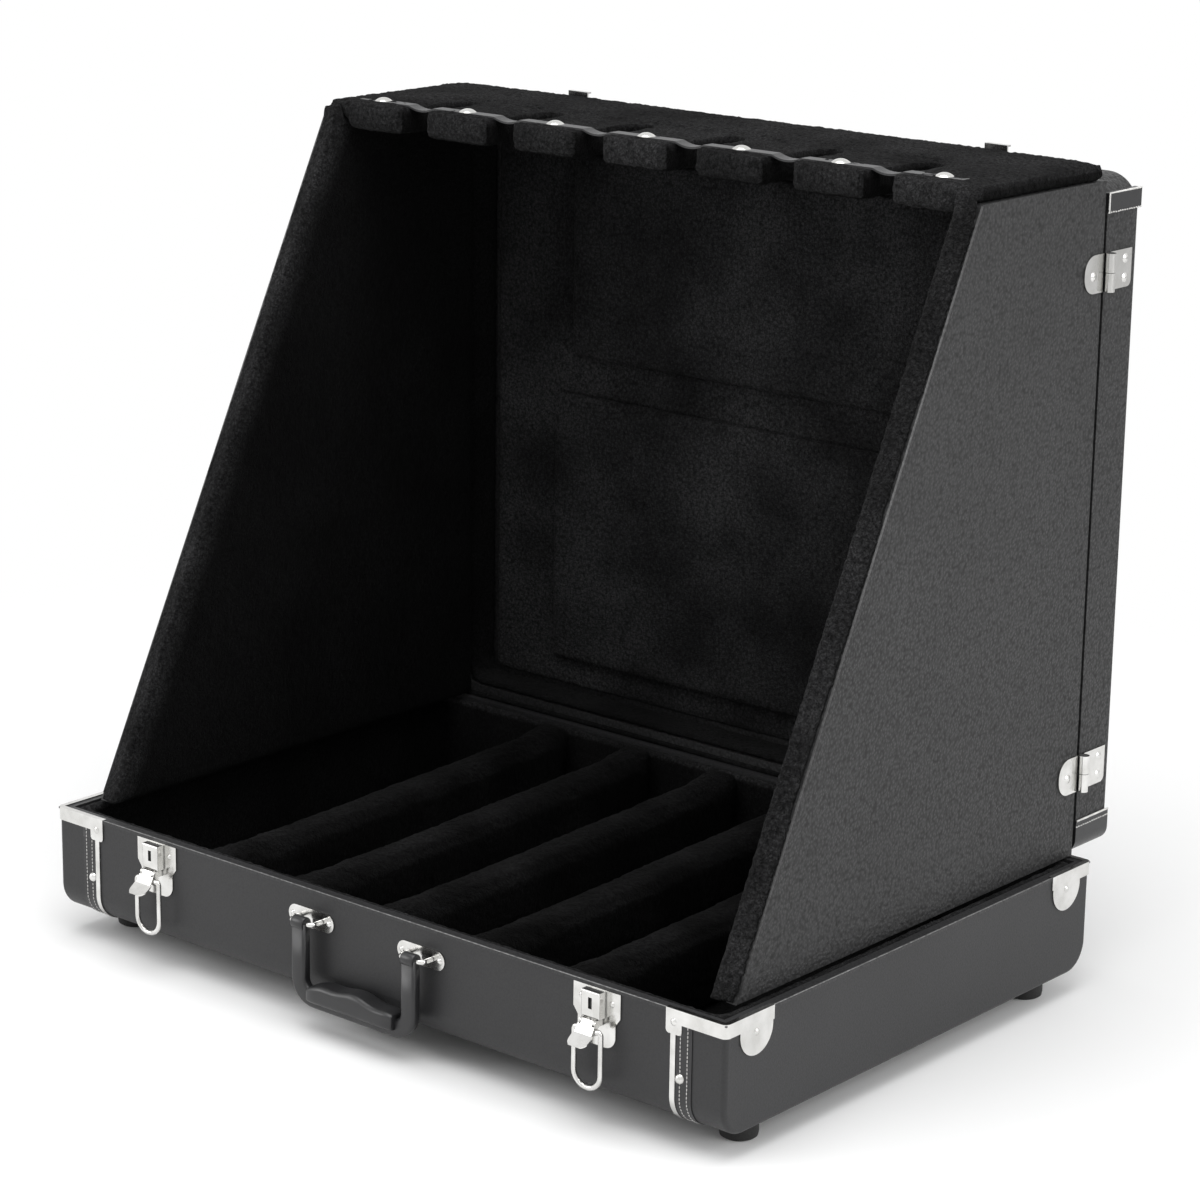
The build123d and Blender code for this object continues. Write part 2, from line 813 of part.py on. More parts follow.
with BuildPart() as rear_hinge_pins:
    for x in rear_hinge_places:
        with BuildSketch(facing_side(x)):
            with Locations((rear_axis_y, rear_axis_z)):
                Circle(pin_r)
        extrude(amount=rear_hinge_long / 2, both=True)
save(rear_hinge_pins.part, "rear_hinge_pins")

with BuildPart() as rear_hinge_lid_leaves:
    for x in rear_hinge_places:
        leaf_front_y = rear_axis_y + rear_knuckle_r + knuckle_gap
        leaf_rear_y = rear_axis_y + rear_hinge_leaf
        with BuildSketch(level(lid_low_z - rear_leaf_thick)):
            with Locations((x, (leaf_front_y + leaf_rear_y) / 2)):
                Rectangle(rear_hinge_long, leaf_rear_y - leaf_front_y)
            with Locations((x, (rear_axis_y + leaf_rear_y) / 2)):
                Rectangle(third - 2 * knuckle_gap, leaf_rear_y - rear_axis_y)
        extrude(amount=rear_leaf_thick)
        with BuildSketch(facing_side(x)):
            with Locations((rear_axis_y, rear_axis_z)):
                Circle(rear_knuckle_r)
        extrude(amount=third / 2 - knuckle_gap, both=True)
        with BuildSketch(facing_side(x)):
            with Locations((rear_axis_y, rear_axis_z)):
                Circle(pin_r + pin_clear)
        extrude(amount=third, both=True, mode=Mode.SUBTRACT)
save(rear_hinge_lid_leaves.part, "rear_hinge_lid_leaves")

# Back shell: an open box on its side, with large round corners seen from the front
with BuildPart() as lid_shell:
    with BuildSketch(facing_front(lid_back_y)):
        with Locations((0, lid_mid_z)):
            RectangleRounded(2 * panel_face_x, lid_tall, lid_corner_r)
    extrude(amount=lid_depth)
    fillet(lid_shell.faces().sort_by(Axis.Y)[-1].edges(), radius=lid_back_r)
    with BuildSketch(facing_front(lid_back_y - lid_wall)):
        with Locations((0, lid_mid_z)):
            RectangleRounded(
                2 * (panel_face_x - lid_wall), lid_tall - 2 * lid_wall, lid_corner_r - lid_wall
            )
    extrude(amount=lid_depth - lid_wall, mode=Mode.SUBTRACT)
save(lid_shell.part, "lid_shell")

lid_inner_half = panel_face_x - lid_wall
lid_inner_tall = lid_tall - 2 * lid_wall
lid_inner_r = lid_corner_r - lid_wall
with BuildPart() as lid_wall_liner:
    with BuildSketch(facing_front(lid_back_y - lid_wall)):
        with Locations((0, lid_mid_z)):
            RectangleRounded(2 * lid_inner_half, lid_inner_tall, lid_inner_r)
            RectangleRounded(
                2 * (lid_inner_half - lid_wall_lining),
                lid_inner_tall - 2 * lid_wall_lining,
                lid_inner_r - lid_wall_lining,
                mode=Mode.SUBTRACT,
            )
    extrude(amount=lid_depth - lid_wall)
save(lid_wall_liner.part, "lid_wall_lining")

with BuildPart() as lid_back_liner:
    with BuildSketch(facing_front(lid_back_y - lid_wall)):
        with Locations((0, lid_mid_z)):
            RectangleRounded(
                2 * (lid_inner_half - lid_wall_lining),
                lid_inner_tall - 2 * lid_wall_lining,
                lid_inner_r - lid_wall_lining,
            )
    extrude(amount=lid_back_lining)
save(lid_back_liner.part, "lid_back_lining")

# Raised pads on the back lining, one above the other
pad_y = lid_back_y - lid_wall - lid_back_lining
with BuildPart() as lid_back_pads:
    split = panel_top * lid_pad_split
    for low, high, inset in (
        (lid_pad_low, split - lid_pad_gap / 2, lid_pad_side),
        (split + lid_pad_gap / 2, panel_top - lid_pad_drop, lid_upper_pad_side),
    ):
        with BuildSketch(facing_front(pad_y)):
            with Locations((0, rim_z + (low + high) / 2)):
                RectangleRounded(2 * (panel_face_x - inset), high - low, lid_pad_r)
        extrude(amount=lid_pad_thick)
    pad_fronts = lid_back_pads.faces().group_by(Axis.Y)[0]
    fillet(pad_fronts.edges(), radius=lid_pad_r / 2)
save(lid_back_pads.part, "lid_back_pads")

# Corner trims: stiff bands that square off the round corners, from seam to back
with BuildPart() as lid_corner_trims:
    for end, outer_r, (inner_drop, outer_drop) in (
        (-1, trim_bottom_r, trim_bottom_band),
        (1, trim_top_r, trim_top_band),
    ):
        for side, x in sides:
            with BuildSketch(facing_front(lid_back_y)):
                with Locations((0, lid_mid_z)):
                    RectangleRounded(
                        2 * (panel_face_x + trim_thick), lid_tall + 2 * trim_thick, outer_r
                    )
                    RectangleRounded(
                        2 * (panel_face_x + trim_clear),
                        lid_tall + 2 * trim_clear,
                        lid_corner_r + trim_clear,
                        mode=Mode.SUBTRACT,
                    )
                band_z = lid_tall / 2 - (inner_drop + outer_drop) / 2
                with Locations(
                    (x * (panel_face_x - lid_corner_r / 2), lid_mid_z + end * band_z)
                ):
                    Rectangle(2 * lid_corner_r, inner_drop - outer_drop, mode=Mode.INTERSECT)
            extrude(amount=lid_depth)
save(lid_corner_trims.part, "lid_corner_trims")

# Catches for the latch bails, on the top wall beside the seam
for side, x in sides:
    middle = x * catch_x
    catch_front_y = seam_y + catch_back
    hook_y = catch_front_y + catch_hook_y
    with BuildPart() as catch:
        with BuildSketch(level(panel_top_z)):
            with Locations((middle, catch_front_y + catch_deep / 2)):
                RectangleRounded(catch_wide, catch_deep, 3)
        extrude(amount=catch_thick)
        with BuildSketch(facing_side(middle + catch_hook_shift)):
            with BuildLine():
                Polyline(
                    (hook_y, panel_top_z),
                    (hook_y, panel_top_z + catch_tall),
                    (hook_y + catch_hook_lip, panel_top_z + catch_tall),
                    (hook_y + catch_hook_lip, panel_top_z + catch_tall - catch_thick),
                    (hook_y + catch_thick, panel_top_z + catch_tall - catch_thick),
                    (hook_y + catch_thick, panel_top_z),
                    close=True,
                )
            make_face()
        extrude(amount=catch_hook_wide / 2, both=True)
        with BuildSketch(level(panel_top_z)):
            with Locations((middle - catch_keeper_shift, hook_y + catch_keeper_deep / 2)):
                Rectangle(catch_keeper_wide, catch_keeper_deep)
        extrude(amount=catch_keeper_tall)
    save(catch.part, f"catch_{side}")

# Side hinges: the lower knuckle and its pin stay on the back shell, and the upper
# knuckle turns with the panel
hinge_heights = (panel_top_z - side_hinge_inset, rim_z + side_hinge_inset)
half_tall = side_hinge_tall / 2
knuckle_room = 2 * (knuckle_r + knuckle_gap)
pin_tall = side_hinge_tall - pin_cap
for side, x in sides:
    with BuildPart() as panel_hinge_leaves:
        for z in hinge_heights:
            with BuildSketch(facing_side(x * panel_face_x)):
                with Locations((side_axis_y - side_hinge_reach / 2, z)):
                    RectangleRounded(side_hinge_reach, side_hinge_tall, side_hinge_nose_r)
                straight = side_hinge_reach - side_hinge_nose_r
                with Locations((side_axis_y - straight / 2, z)):
                    Rectangle(straight, side_hinge_tall)
                with Locations((side_axis_y, z - half_tall / 2 + knuckle_gap / 4)):
                    Rectangle(knuckle_room, half_tall + knuckle_gap / 2, mode=Mode.SUBTRACT)
            extrude(amount=x * leaf_thick)
            with BuildSketch(level(z + knuckle_gap / 2)):
                with Locations((x * side_axis_x, side_axis_y)):
                    Circle(knuckle_r)
            extrude(amount=half_tall - knuckle_gap / 2)
            with BuildSketch(level(z - half_tall)):
                with Locations((x * side_axis_x, side_axis_y)):
                    Circle(pin_r + pin_clear)
            extrude(amount=pin_tall, mode=Mode.SUBTRACT)
    save(panel_hinge_leaves.part, f"{side}_panel_hinge_leaves")

with BuildPart() as side_hinge_lid_leaves:
    for z in hinge_heights:
        for side, x in sides:
            with BuildSketch(facing_side(x * panel_face_x)) as lid_leaf:
                with Locations((side_axis_y + side_hinge_lid_reach / 2, z)):
                    Rectangle(side_hinge_lid_reach, side_hinge_tall)
                rear_corners = lid_leaf.vertices().group_by(Axis.X)[-1]
                fillet(rear_corners.sort_by(Axis.Y)[0], radius=side_hinge_corner_r)
                with Locations((side_axis_y, z + half_tall / 2)):
                    Rectangle(knuckle_room, half_tall, mode=Mode.SUBTRACT)
            extrude(amount=x * leaf_thick)
            with BuildSketch(level(z - half_tall)):
                with Locations((x * side_axis_x, side_axis_y)):
                    Circle(knuckle_r)
            extrude(amount=half_tall - knuckle_gap / 2)
            with BuildSketch(level(z - half_tall)):
                with Locations((x * side_axis_x, side_axis_y)):
                    Circle(pin_r)
            extrude(amount=pin_tall - knuckle_gap)
save(side_hinge_lid_leaves.part, "side_hinge_lid_leaves")

# Rivets that stay with the back shell: hinge leaves and catches
with BuildPart() as lid_rivets:
    for side, x in sides:
        leaf_face = outer_face(x, panel_face_x + leaf_thick)
        rivet_y = side_axis_y + side_hinge_lid_reach * side_hinge_lid_rivet_share
        rises = (-side_hinge_lid_rivet_rise, side_hinge_lid_rivet_rise)
        spots = [(rivet_y, x * (z + rise)) for z in hinge_heights for rise in rises]
        dome(leaf_face, spots, radius=side_hinge_rivet_r)
        catch_top = level(panel_top_z + catch_keeper_tall)
        keeper_y = seam_y + catch_back + catch_hook_y + catch_keeper_deep / 2
        dome(catch_top, [(x * catch_x - catch_keeper_shift, keeper_y)], radius=catch_rivet_r)
save(lid_rivets.part, "lid_rivets")

# Side panels: a covered board with a slanted front edge, and a plush lining that
# rolls over that edge
slant_run = panel_front_high - panel_front_low
slant_rise = panel_top - panel_rise
slant = Vector(0, slant_run, slant_rise)
panel_profile = (
    (front_y + panel_front_low, panel_low_z),
    (front_y + panel_front_high, panel_top_z),
    (panel_rear_y, panel_top_z),
    (panel_rear_y, panel_low_z),
)
for side, x in sides:
    board_inner_x = x * (panel_face_x - panel_board)
    with BuildPart() as panel_shell:
        with BuildSketch(facing_side(board_inner_x)) as panel_side:
            with BuildLine():
                Polyline(*panel_profile, close=True)
            make_face()
            top_front = panel_side.vertices().group_by(Axis.Y)[-1].sort_by(Axis.X)[0]
            fillet(top_front, radius=panel_corner_r)
        extrude(amount=x * panel_board)
    save(panel_shell.part, f"{side}_panel")

    with BuildPart() as panel_liner:
        with BuildSketch(facing_side(x * panel_inner_x)):
            with BuildLine():
                Polyline(*panel_profile, close=True)
            make_face()
        extrude(amount=x * panel_lining)
        with BuildSketch(level(panel_low_z)):
            edge_y = front_y + panel_front_low
            outer = x * panel_face_x
            crease = x * (panel_inner_x + panel_lining - 2)
            inner = x * panel_inner_x
            with BuildLine():
                end_mid = ((outer + crease) / 2, edge_y - panel_end_roll)
                ThreePointArc((outer, edge_y), end_mid, (crease, edge_y - 1))
                roll_mid = ((crease + inner) / 2, edge_y - panel_inner_roll)
                ThreePointArc((crease, edge_y - 1), roll_mid, (inner, edge_y))
                Polyline(
                    (inner, edge_y),
                    (inner, edge_y + panel_roll_back),
                    (board_inner_x, edge_y + panel_roll_back),
                    (board_inner_x, edge_y),
                    (outer, edge_y),
                )
            make_face()
        extrude(amount=slant.length, dir=slant)
    save(panel_liner.part, f"{side}_panel_lining")

    with BuildPart() as panel_rivets:
        leaf_face = outer_face(x, panel_face_x + leaf_thick)
        rivet_y = side_axis_y - side_hinge_reach * side_hinge_rivet_share
        spots = [(rivet_y, x * (z - side_hinge_rivet_drop)) for z in hinge_heights]
        dome(leaf_face, spots, radius=side_hinge_rivet_r)
    save(panel_rivets.part, f"{side}_panel_rivets")

# Neck rest: a stiff board in a padded cover with a notch for each neck. A flange
# lies on the side panels and the rest hangs between them.
rest_rear_y = rest_front_y + rest_depth
rest_mid_y = (rest_front_y + rest_rear_y) / 2
core_front_y = rest_front_y + rest_board_back
core_rear_y = rest_rear_y - rest_board_back
notch_end_y = rest_front_y + notch_depth
with BuildPart() as neck_rest_board:
    with BuildSketch(level(rest_flange_z + rest_flange / 2)):
        core_low_y = notch_end_y + rest_board_back
        with Locations((0, (core_low_y + core_rear_y) / 2)):
            Rectangle(2 * (panel_face_x - rest_board_side), core_rear_y - core_low_y)
        with Locations(*[(x, (core_front_y + core_low_y) / 2) for x in tooth_places]):
            Rectangle(2 * rest_core_half, core_low_y - core_front_y)
    extrude(amount=rest_board / 2, both=True)
save(neck_rest_board.part, "neck_rest_board")

for name, half_wide, low_z, high_z, top_r, low_r in (
    ("neck_rest_pad", panel_face_x, rest_flange_z, rest_top_z, rest_rear_r, 0),
    ("neck_rest_teeth", panel_inner_x - rest_side_gap, rest_low_z, rest_flange_z, 0, rest_low_r),
):
    tall = high_z - low_z
    with BuildPart() as rest_layer:
        with BuildSketch(level(low_z)) as comb:
            with Locations((0, rest_mid_y)):
                Rectangle(2 * half_wide, rest_depth)
            for x in notch_places:
                with Locations((x, rest_front_y)):
                    SlotOverall(2 * notch_depth, notch_width, rotation=90, mode=Mode.SUBTRACT)
            fillet(comb.vertices().group_by(Axis.Y)[0], radius=tooth_corner_r)
        extrude(amount=tall)
        with BuildSketch(facing_side(-half_wide)) as side_view:
            with Locations((rest_mid_y, low_z + tall / 2)):
                Rectangle(rest_depth, tall)
            low_corners, high_corners = side_view.vertices().group_by(Axis.Y)
            if top_r:
                fillet(high_corners.sort_by(Axis.X)[0], radius=rest_edge_r)
                fillet(high_corners.sort_by(Axis.X)[-1], radius=top_r)
            if low_r:
                fillet(low_corners.sort_by(Axis.X)[0], radius=low_r)
        extrude(amount=2 * half_wide, mode=Mode.INTERSECT)
        if top_r:
            with BuildSketch(facing_front(rest_rear_y)) as front_view:
                with Locations((0, low_z + tall / 2)):
                    Rectangle(2 * half_wide, tall)
                fillet(front_view.vertices().group_by(Axis.Y)[-1], radius=top_r)
            extrude(amount=rest_depth, mode=Mode.INTERSECT)
            add(neck_rest_board.part, mode=Mode.SUBTRACT)
    save(rest_layer.part, name)

# Strap over the notches, flat on each tooth and sagging a little between them
strap_y = rest_front_y + strap_back
with BuildPart() as neck_strap:
    with BuildSketch(facing_front(strap_y + strap_width / 2)):
        with BuildLine():
            for height in (0, strap_thick):
                start_x = -strap_left
                z = rest_top_z + height
                for x in notch_places:
                    Line((start_x, z), (x - notch_width / 2, z))
                    ThreePointArc(
                        (x - notch_width / 2, z), (x, z - strap_sag), (x + notch_width / 2, z)
                    )
                    start_x = x + notch_width / 2
                Line((start_x, z), (strap_right, z))
            for end_x in (-strap_left, strap_right):
                Line((end_x, rest_top_z), (end_x, rest_top_z + strap_thick))
        make_face()
    extrude(amount=strap_width)
save(neck_strap.part, "neck_strap")

with BuildPart() as strap_snaps:
    dome(
        level(rest_top_z + strap_thick),
        [(x, strap_y) for x in tooth_places],
        radius=snap_radius,
        height=snap_height,
    )
save(strap_snaps.part, "strap_snaps")
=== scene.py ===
"""A folding stand case for guitars, dressed for its studio photograph.

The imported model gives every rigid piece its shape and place. This script adds the
plush linings, padded ribs and rest, handle, feet, piping and stitching, finishes every
surface, and sets up the pale studio and the camera.
"""

import logging
import math
from dataclasses import dataclass
from enum import Enum
from functools import cache
from typing import Callable, Iterable, Sequence

import bmesh
import bpy
from mathutils import Matrix, Vector, noise

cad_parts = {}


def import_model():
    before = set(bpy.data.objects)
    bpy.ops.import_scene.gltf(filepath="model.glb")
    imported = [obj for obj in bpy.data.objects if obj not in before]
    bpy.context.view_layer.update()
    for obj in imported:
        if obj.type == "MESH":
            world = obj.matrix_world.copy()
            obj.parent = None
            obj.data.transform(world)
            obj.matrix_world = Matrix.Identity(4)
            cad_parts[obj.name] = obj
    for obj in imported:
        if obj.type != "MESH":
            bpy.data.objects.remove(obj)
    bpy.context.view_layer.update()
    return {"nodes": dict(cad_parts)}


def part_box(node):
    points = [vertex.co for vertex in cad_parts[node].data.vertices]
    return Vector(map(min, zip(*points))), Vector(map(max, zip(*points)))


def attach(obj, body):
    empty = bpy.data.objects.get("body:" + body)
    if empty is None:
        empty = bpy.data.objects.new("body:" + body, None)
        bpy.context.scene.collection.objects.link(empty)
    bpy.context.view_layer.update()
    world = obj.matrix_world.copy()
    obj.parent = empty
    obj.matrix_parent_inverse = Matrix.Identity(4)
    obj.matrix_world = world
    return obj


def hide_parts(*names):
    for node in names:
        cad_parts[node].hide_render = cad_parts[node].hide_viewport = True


log = logging.getLogger("stand_case")
MM = 0.001
WELD = 0.00001  # metres within which points are one
CREVICE_SHADE_REACH = 0.003  # metres that the painted shade spreads from a corner
# Point attribute of painted light and shade that scales the plush pile's colour
PAINTED_LIGHT_MARK = "painted_pile_light"
Colour = tuple[float, float, float]
Light = Callable[[Vector], float]


@cache
def node_box(node: str) -> tuple[Sequence[float], Sequence[float]]:
    """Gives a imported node's box at rest, which is worked out only once."""
    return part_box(node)


def even_light(place: Vector) -> float:
    """Paints neither light nor shade on a piece's pile: the same factor everywhere."""
    return 1.0


class Side(Enum):
    """The left and the right of the stand, seen from the front."""

    LEFT = -1
    RIGHT = 1

    @property
    def word(self) -> str:
        """The side's name as it stands in node names."""
        return self.name.lower()


class NodeBench:
    """Adds nodes to one tree and wires them up."""

    def __init__(self, tree: bpy.types.NodeTree) -> None:
        """Keeps the tree and empties it."""
        self.tree = tree
        tree.nodes.clear()

    def add(self, kind: str, **values: object) -> bpy.types.Node:
        """Adds a node.

        Args:
            kind: the node's type.
            values: attributes of the node, or values and links for its inputs, with
                underscores for the spaces in an input's name.

        Returns:
            The new node.
        """
        node = self.tree.nodes.new(kind)
        inputs = []
        for key, value in values.items():
            if hasattr(node, key):
                setattr(node, key, value)
            else:
                inputs.append((key.replace("_", " "), value))
        for name, value in inputs:
            self.feed(node.inputs[name], value)
        return node

    def feed(self, socket: bpy.types.NodeSocket, value: object) -> None:
        """Links a socket to another socket, or sets its value."""
        if isinstance(value, bpy.types.NodeSocket):
            self.tree.links.new(value, socket)
        else:
            socket.default_value = value

    def math(self, operation: str, first: object, second: object = 0.5) -> bpy.types.NodeSocket:
        """Adds a Math node and returns its result."""
        node = self.tree.nodes.new("ShaderNodeMath")
        node.operation = operation
        self.feed(node.inputs[0], first)
        self.feed(node.inputs[1], second)
        return node.outputs[0]

    def spread(self, value: object, low: float, high: float, to_low: float, to_high: float):
        """Maps a value from one range to another, clamped, and returns the result."""
        node = self.add("ShaderNodeMapRange", clamp=True)
        for name, number in (
            ("Value", value),
            ("From Min", low),
            ("From Max", high),
            ("To Min", to_low),
            ("To Max", to_high),
        ):
            self.feed(node.inputs[name], number)
        return node.outputs["Result"]

    def blend(self, factor: object, first: object, second: object) -> bpy.types.NodeSocket:
        """Mixes two colours and returns the result."""
        node = self.add("ShaderNodeMix", data_type="RGBA")
        self.feed(node.inputs["Factor"], factor)
        self.feed(node.inputs["A"], first)
        self.feed(node.inputs["B"], second)
        return node.outputs["Result"]


class PatternLibrary:
    """The shader node groups that several finishes share, each built once."""

    def __init__(self) -> None:
        """Builds every group."""
        self.pebble = self._group("pebble_grain", self._pebble)
        self.nap = self._group("plush_nap", self._nap)
        self.handling = self._group("handling_marks", self._handling)

    @staticmethod
    def _group(name: str, fill: Callable[[NodeBench, object, object], None]):
        """Makes one group with a place, a scale, a height and a mask, and fills it."""
        tree = bpy.data.node_groups.new(name, "ShaderNodeTree")
        bench = NodeBench(tree)
        tree.interface.new_socket("Place", in_out="INPUT", socket_type="NodeSocketVector")
        scale = tree.interface.new_socket("Scale", in_out="INPUT", socket_type="NodeSocketFloat")
        scale.default_value = 1.0
        tree.interface.new_socket("Height", in_out="OUTPUT", socket_type="NodeSocketFloat")
        tree.interface.new_socket("Mask", in_out="OUTPUT", socket_type="NodeSocketFloat")
        fill(bench, bench.add("NodeGroupInput"), bench.add("NodeGroupOutput"))
        return tree

    @staticmethod
    def _pebble(bench: NodeBench, source: bpy.types.Node, sink: bpy.types.Node) -> None:
        """Small rounded pebbles with fine creases between them, as in pressed vinyl."""
        place, scale = source.outputs["Place"], source.outputs["Scale"]
        sway = bench.add("ShaderNodeTexNoise", Vector=place, Scale=bench.math("MULTIPLY", scale, 0.6))
        bent = bench.add("ShaderNodeMix", data_type="VECTOR", Factor=0.0012)
        bench.feed(bent.inputs["A"], place)
        bench.feed(bent.inputs["B"], sway.outputs["Color"])
        cells = bench.add("ShaderNodeTexVoronoi", feature="SMOOTH_F1", Scale=scale)
        bench.feed(cells.inputs["Vector"], bent.outputs["Result"])
        fine = bench.add("ShaderNodeTexNoise", Vector=place, Scale=bench.math("MULTIPLY", scale, 2.3))
        dome = bench.spread(cells.outputs["Distance"], 0.05, 0.75, 1.0, 0.0)
        rough = bench.math("MULTIPLY", fine.outputs["Fac"], 0.35)
        bench.feed(sink.inputs["Height"], bench.math("ADD", dome, rough))
        # The mask is high on the pebbles' tops; finishes paint the creases between them in their second colour as
        # painted shade.
        bench.feed(sink.inputs["Mask"], dome)

    @staticmethod
    def _nap(bench: NodeBench, source: bpy.types.Node, sink: bpy.types.Node) -> None:
        """Curly pile: small tufts with finer strands inside them."""
        place, scale = source.outputs["Place"], source.outputs["Scale"]
        clump = bench.add("ShaderNodeTexVoronoi", feature="SMOOTH_F1", Scale=scale, Smoothness=0.6, Randomness=1.0)
        bench.feed(clump.inputs["Vector"], place)
        strand = bench.add(
            "ShaderNodeTexNoise",
            Vector=place,
            Scale=bench.math("MULTIPLY", scale, 2.2),
            Detail=5.0,
            Roughness=0.65,
        )
        tuft = bench.spread(clump.outputs["Distance"], 0.1, 0.8, 1.0, 0.0)
        fibre = bench.spread(strand.outputs["Fac"], 0.3, 0.72, 0.0, 1.0)
        # Painted light on the tufts' strands; where the mask is low, finishes paint the gaps between tufts dark as
        # painted shade.
        painted_tuft_light = bench.math("MULTIPLY", tuft, fibre)
        bench.feed(sink.inputs["Height"], bench.math("ADD", bench.math("MULTIPLY", tuft, 0.5), fibre))
        bench.feed(sink.inputs["Mask"], bench.math("ADD", painted_tuft_light, bench.math("MULTIPLY", fibre, 0.4)))

    @staticmethod
    def _handling(bench: NodeBench, source: bpy.types.Node, sink: bpy.types.Node) -> None:
        """Faint smudges and short scuffs from handling."""
        place, scale = source.outputs["Place"], source.outputs["Scale"]
        cloud = bench.add("ShaderNodeTexNoise", Vector=place, Scale=scale, Detail=5.0)
        stretched = bench.add("ShaderNodeMapping", Scale=(1.0, 9.0, 3.0), Vector=place)
        scuff = bench.add(
            "ShaderNodeTexNoise",
            Vector=stretched.outputs["Vector"],
            Scale=bench.math("MULTIPLY", scale, 4.0),
            Detail=3.0,
        )
        smudge = bench.spread(cloud.outputs["Fac"], 0.38, 0.68, 0.0, 1.0)
        thin = bench.spread(scuff.outputs["Fac"], 0.6, 0.75, 0.0, 1.0)
        bench.feed(sink.inputs["Height"], thin)
        bench.feed(sink.inputs["Mask"], smudge)


@dataclass(frozen=True)
class Finish:
    """One surface finish, with its colours and the pattern that breaks it up.

    Attributes:
        name: the material's name.
        colour: the base colour.
        shade: the second colour: painted shade in the creases of pebble grain and between the tufts of pile, and real
            smudges in the handling pattern.
        roughness: the lowest and the highest roughness.
        pattern: the shared pattern that it uses.
        scale: the pattern's scale, in cells to the metre.
        depth: the height of the pattern in millimetres.
        metallic: 1 for a metal.
        sheen: the strength of the soft sheen on cloth.
        specular: the specular level.
        drift: the darkest and the lightest that slow changes make it, as factors.
        drift_scale: how many slow changes there are to the metre.
        crevice_shade: how dark painted shade makes its corners, from 0, not at all, to 1.
        painted_light_mark: whether the mesh's own marks of painted light and shade scale its colour.
    """

    name: str
    colour: Colour
    shade: Colour
    roughness: tuple[float, float]
    pattern: str
    scale: float
    depth: float
    metallic: float = 0.0
    sheen: float = 0.0
    specular: float = 0.5
    drift: tuple[float, float] = (0.9, 1.1)
    drift_scale: float = 7.0
    crevice_shade: float = 0.0
    painted_light_mark: bool = False

    def build(self, patterns: PatternLibrary) -> bpy.types.Material:
        """Makes the material.

        Args:
            patterns: the shared node groups.

        Returns:
            The finished material.
        """
        material = bpy.data.materials.new(self.name)
        material.use_nodes = True
        bench = NodeBench(material.node_tree)
        place = bench.add("ShaderNodeTexCoord").outputs["Object"]
        group = bench.add("ShaderNodeGroup", node_tree=getattr(patterns, self.pattern))
        bench.feed(group.inputs["Place"], place)
        group.inputs["Scale"].default_value = self.scale
        mask = group.outputs["Mask"]
        drift = bench.add("ShaderNodeTexNoise", Vector=place, Scale=self.drift_scale, Detail=3.0)
        # The second colour goes where the mask is low: painted shade in pebble creases and between tufts, real smudges
        # on handled finishes.
        tone = bench.blend(mask, (*self.shade, 1.0), (*self.colour, 1.0))
        lift = bench.spread(drift.outputs["Fac"], 0.34, 0.66, *self.drift)
        # Painted shade: an occlusion node darkens the colour in corners and round rivets.
        if self.crevice_shade:
            corner = bench.add("ShaderNodeAmbientOcclusion", Distance=CREVICE_SHADE_REACH, samples=8)
            open_share = bench.spread(corner.outputs["AO"], 0.25, 0.85, 1.0 - self.crevice_shade, 1.0)
            lift = bench.math("MULTIPLY", lift, open_share)
        # Painted light and shade: the mesh's marks make the pile's colour lighter on lit tops and edges and darker in
        # hollows.
        if self.painted_light_mark:
            mark = bench.add("ShaderNodeAttribute", attribute_name=PAINTED_LIGHT_MARK)
            lift = bench.math("MULTIPLY", lift, mark.outputs["Fac"])
        shaded = bench.add("ShaderNodeVectorMath", operation="SCALE")
        bench.feed(shaded.inputs[0], tone)
        bench.feed(shaded.inputs["Scale"], lift)
        low, high = self.roughness
        rough = bench.spread(mask, 0.0, 1.0, high, low)
        bump = bench.add("ShaderNodeBump", Distance=self.depth * MM, Strength=1.0)
        bench.feed(bump.inputs["Height"], group.outputs["Height"])
        shader = bench.add("ShaderNodeBsdfPrincipled")
        bench.feed(shader.inputs["Base Color"], shaded.outputs[0])
        bench.feed(shader.inputs["Roughness"], rough)
        bench.feed(shader.inputs["Normal"], bump.outputs["Normal"])
        shader.inputs["Metallic"].default_value = self.metallic
        shader.inputs["Specular IOR Level"].default_value = self.specular
        shader.inputs["Sheen Weight"].default_value = self.sheen
        shader.inputs["Sheen Roughness"].default_value = 0.45
        out = bench.add("ShaderNodeOutputMaterial")
        bench.feed(out.inputs["Surface"], shader.outputs["BSDF"])
        return material


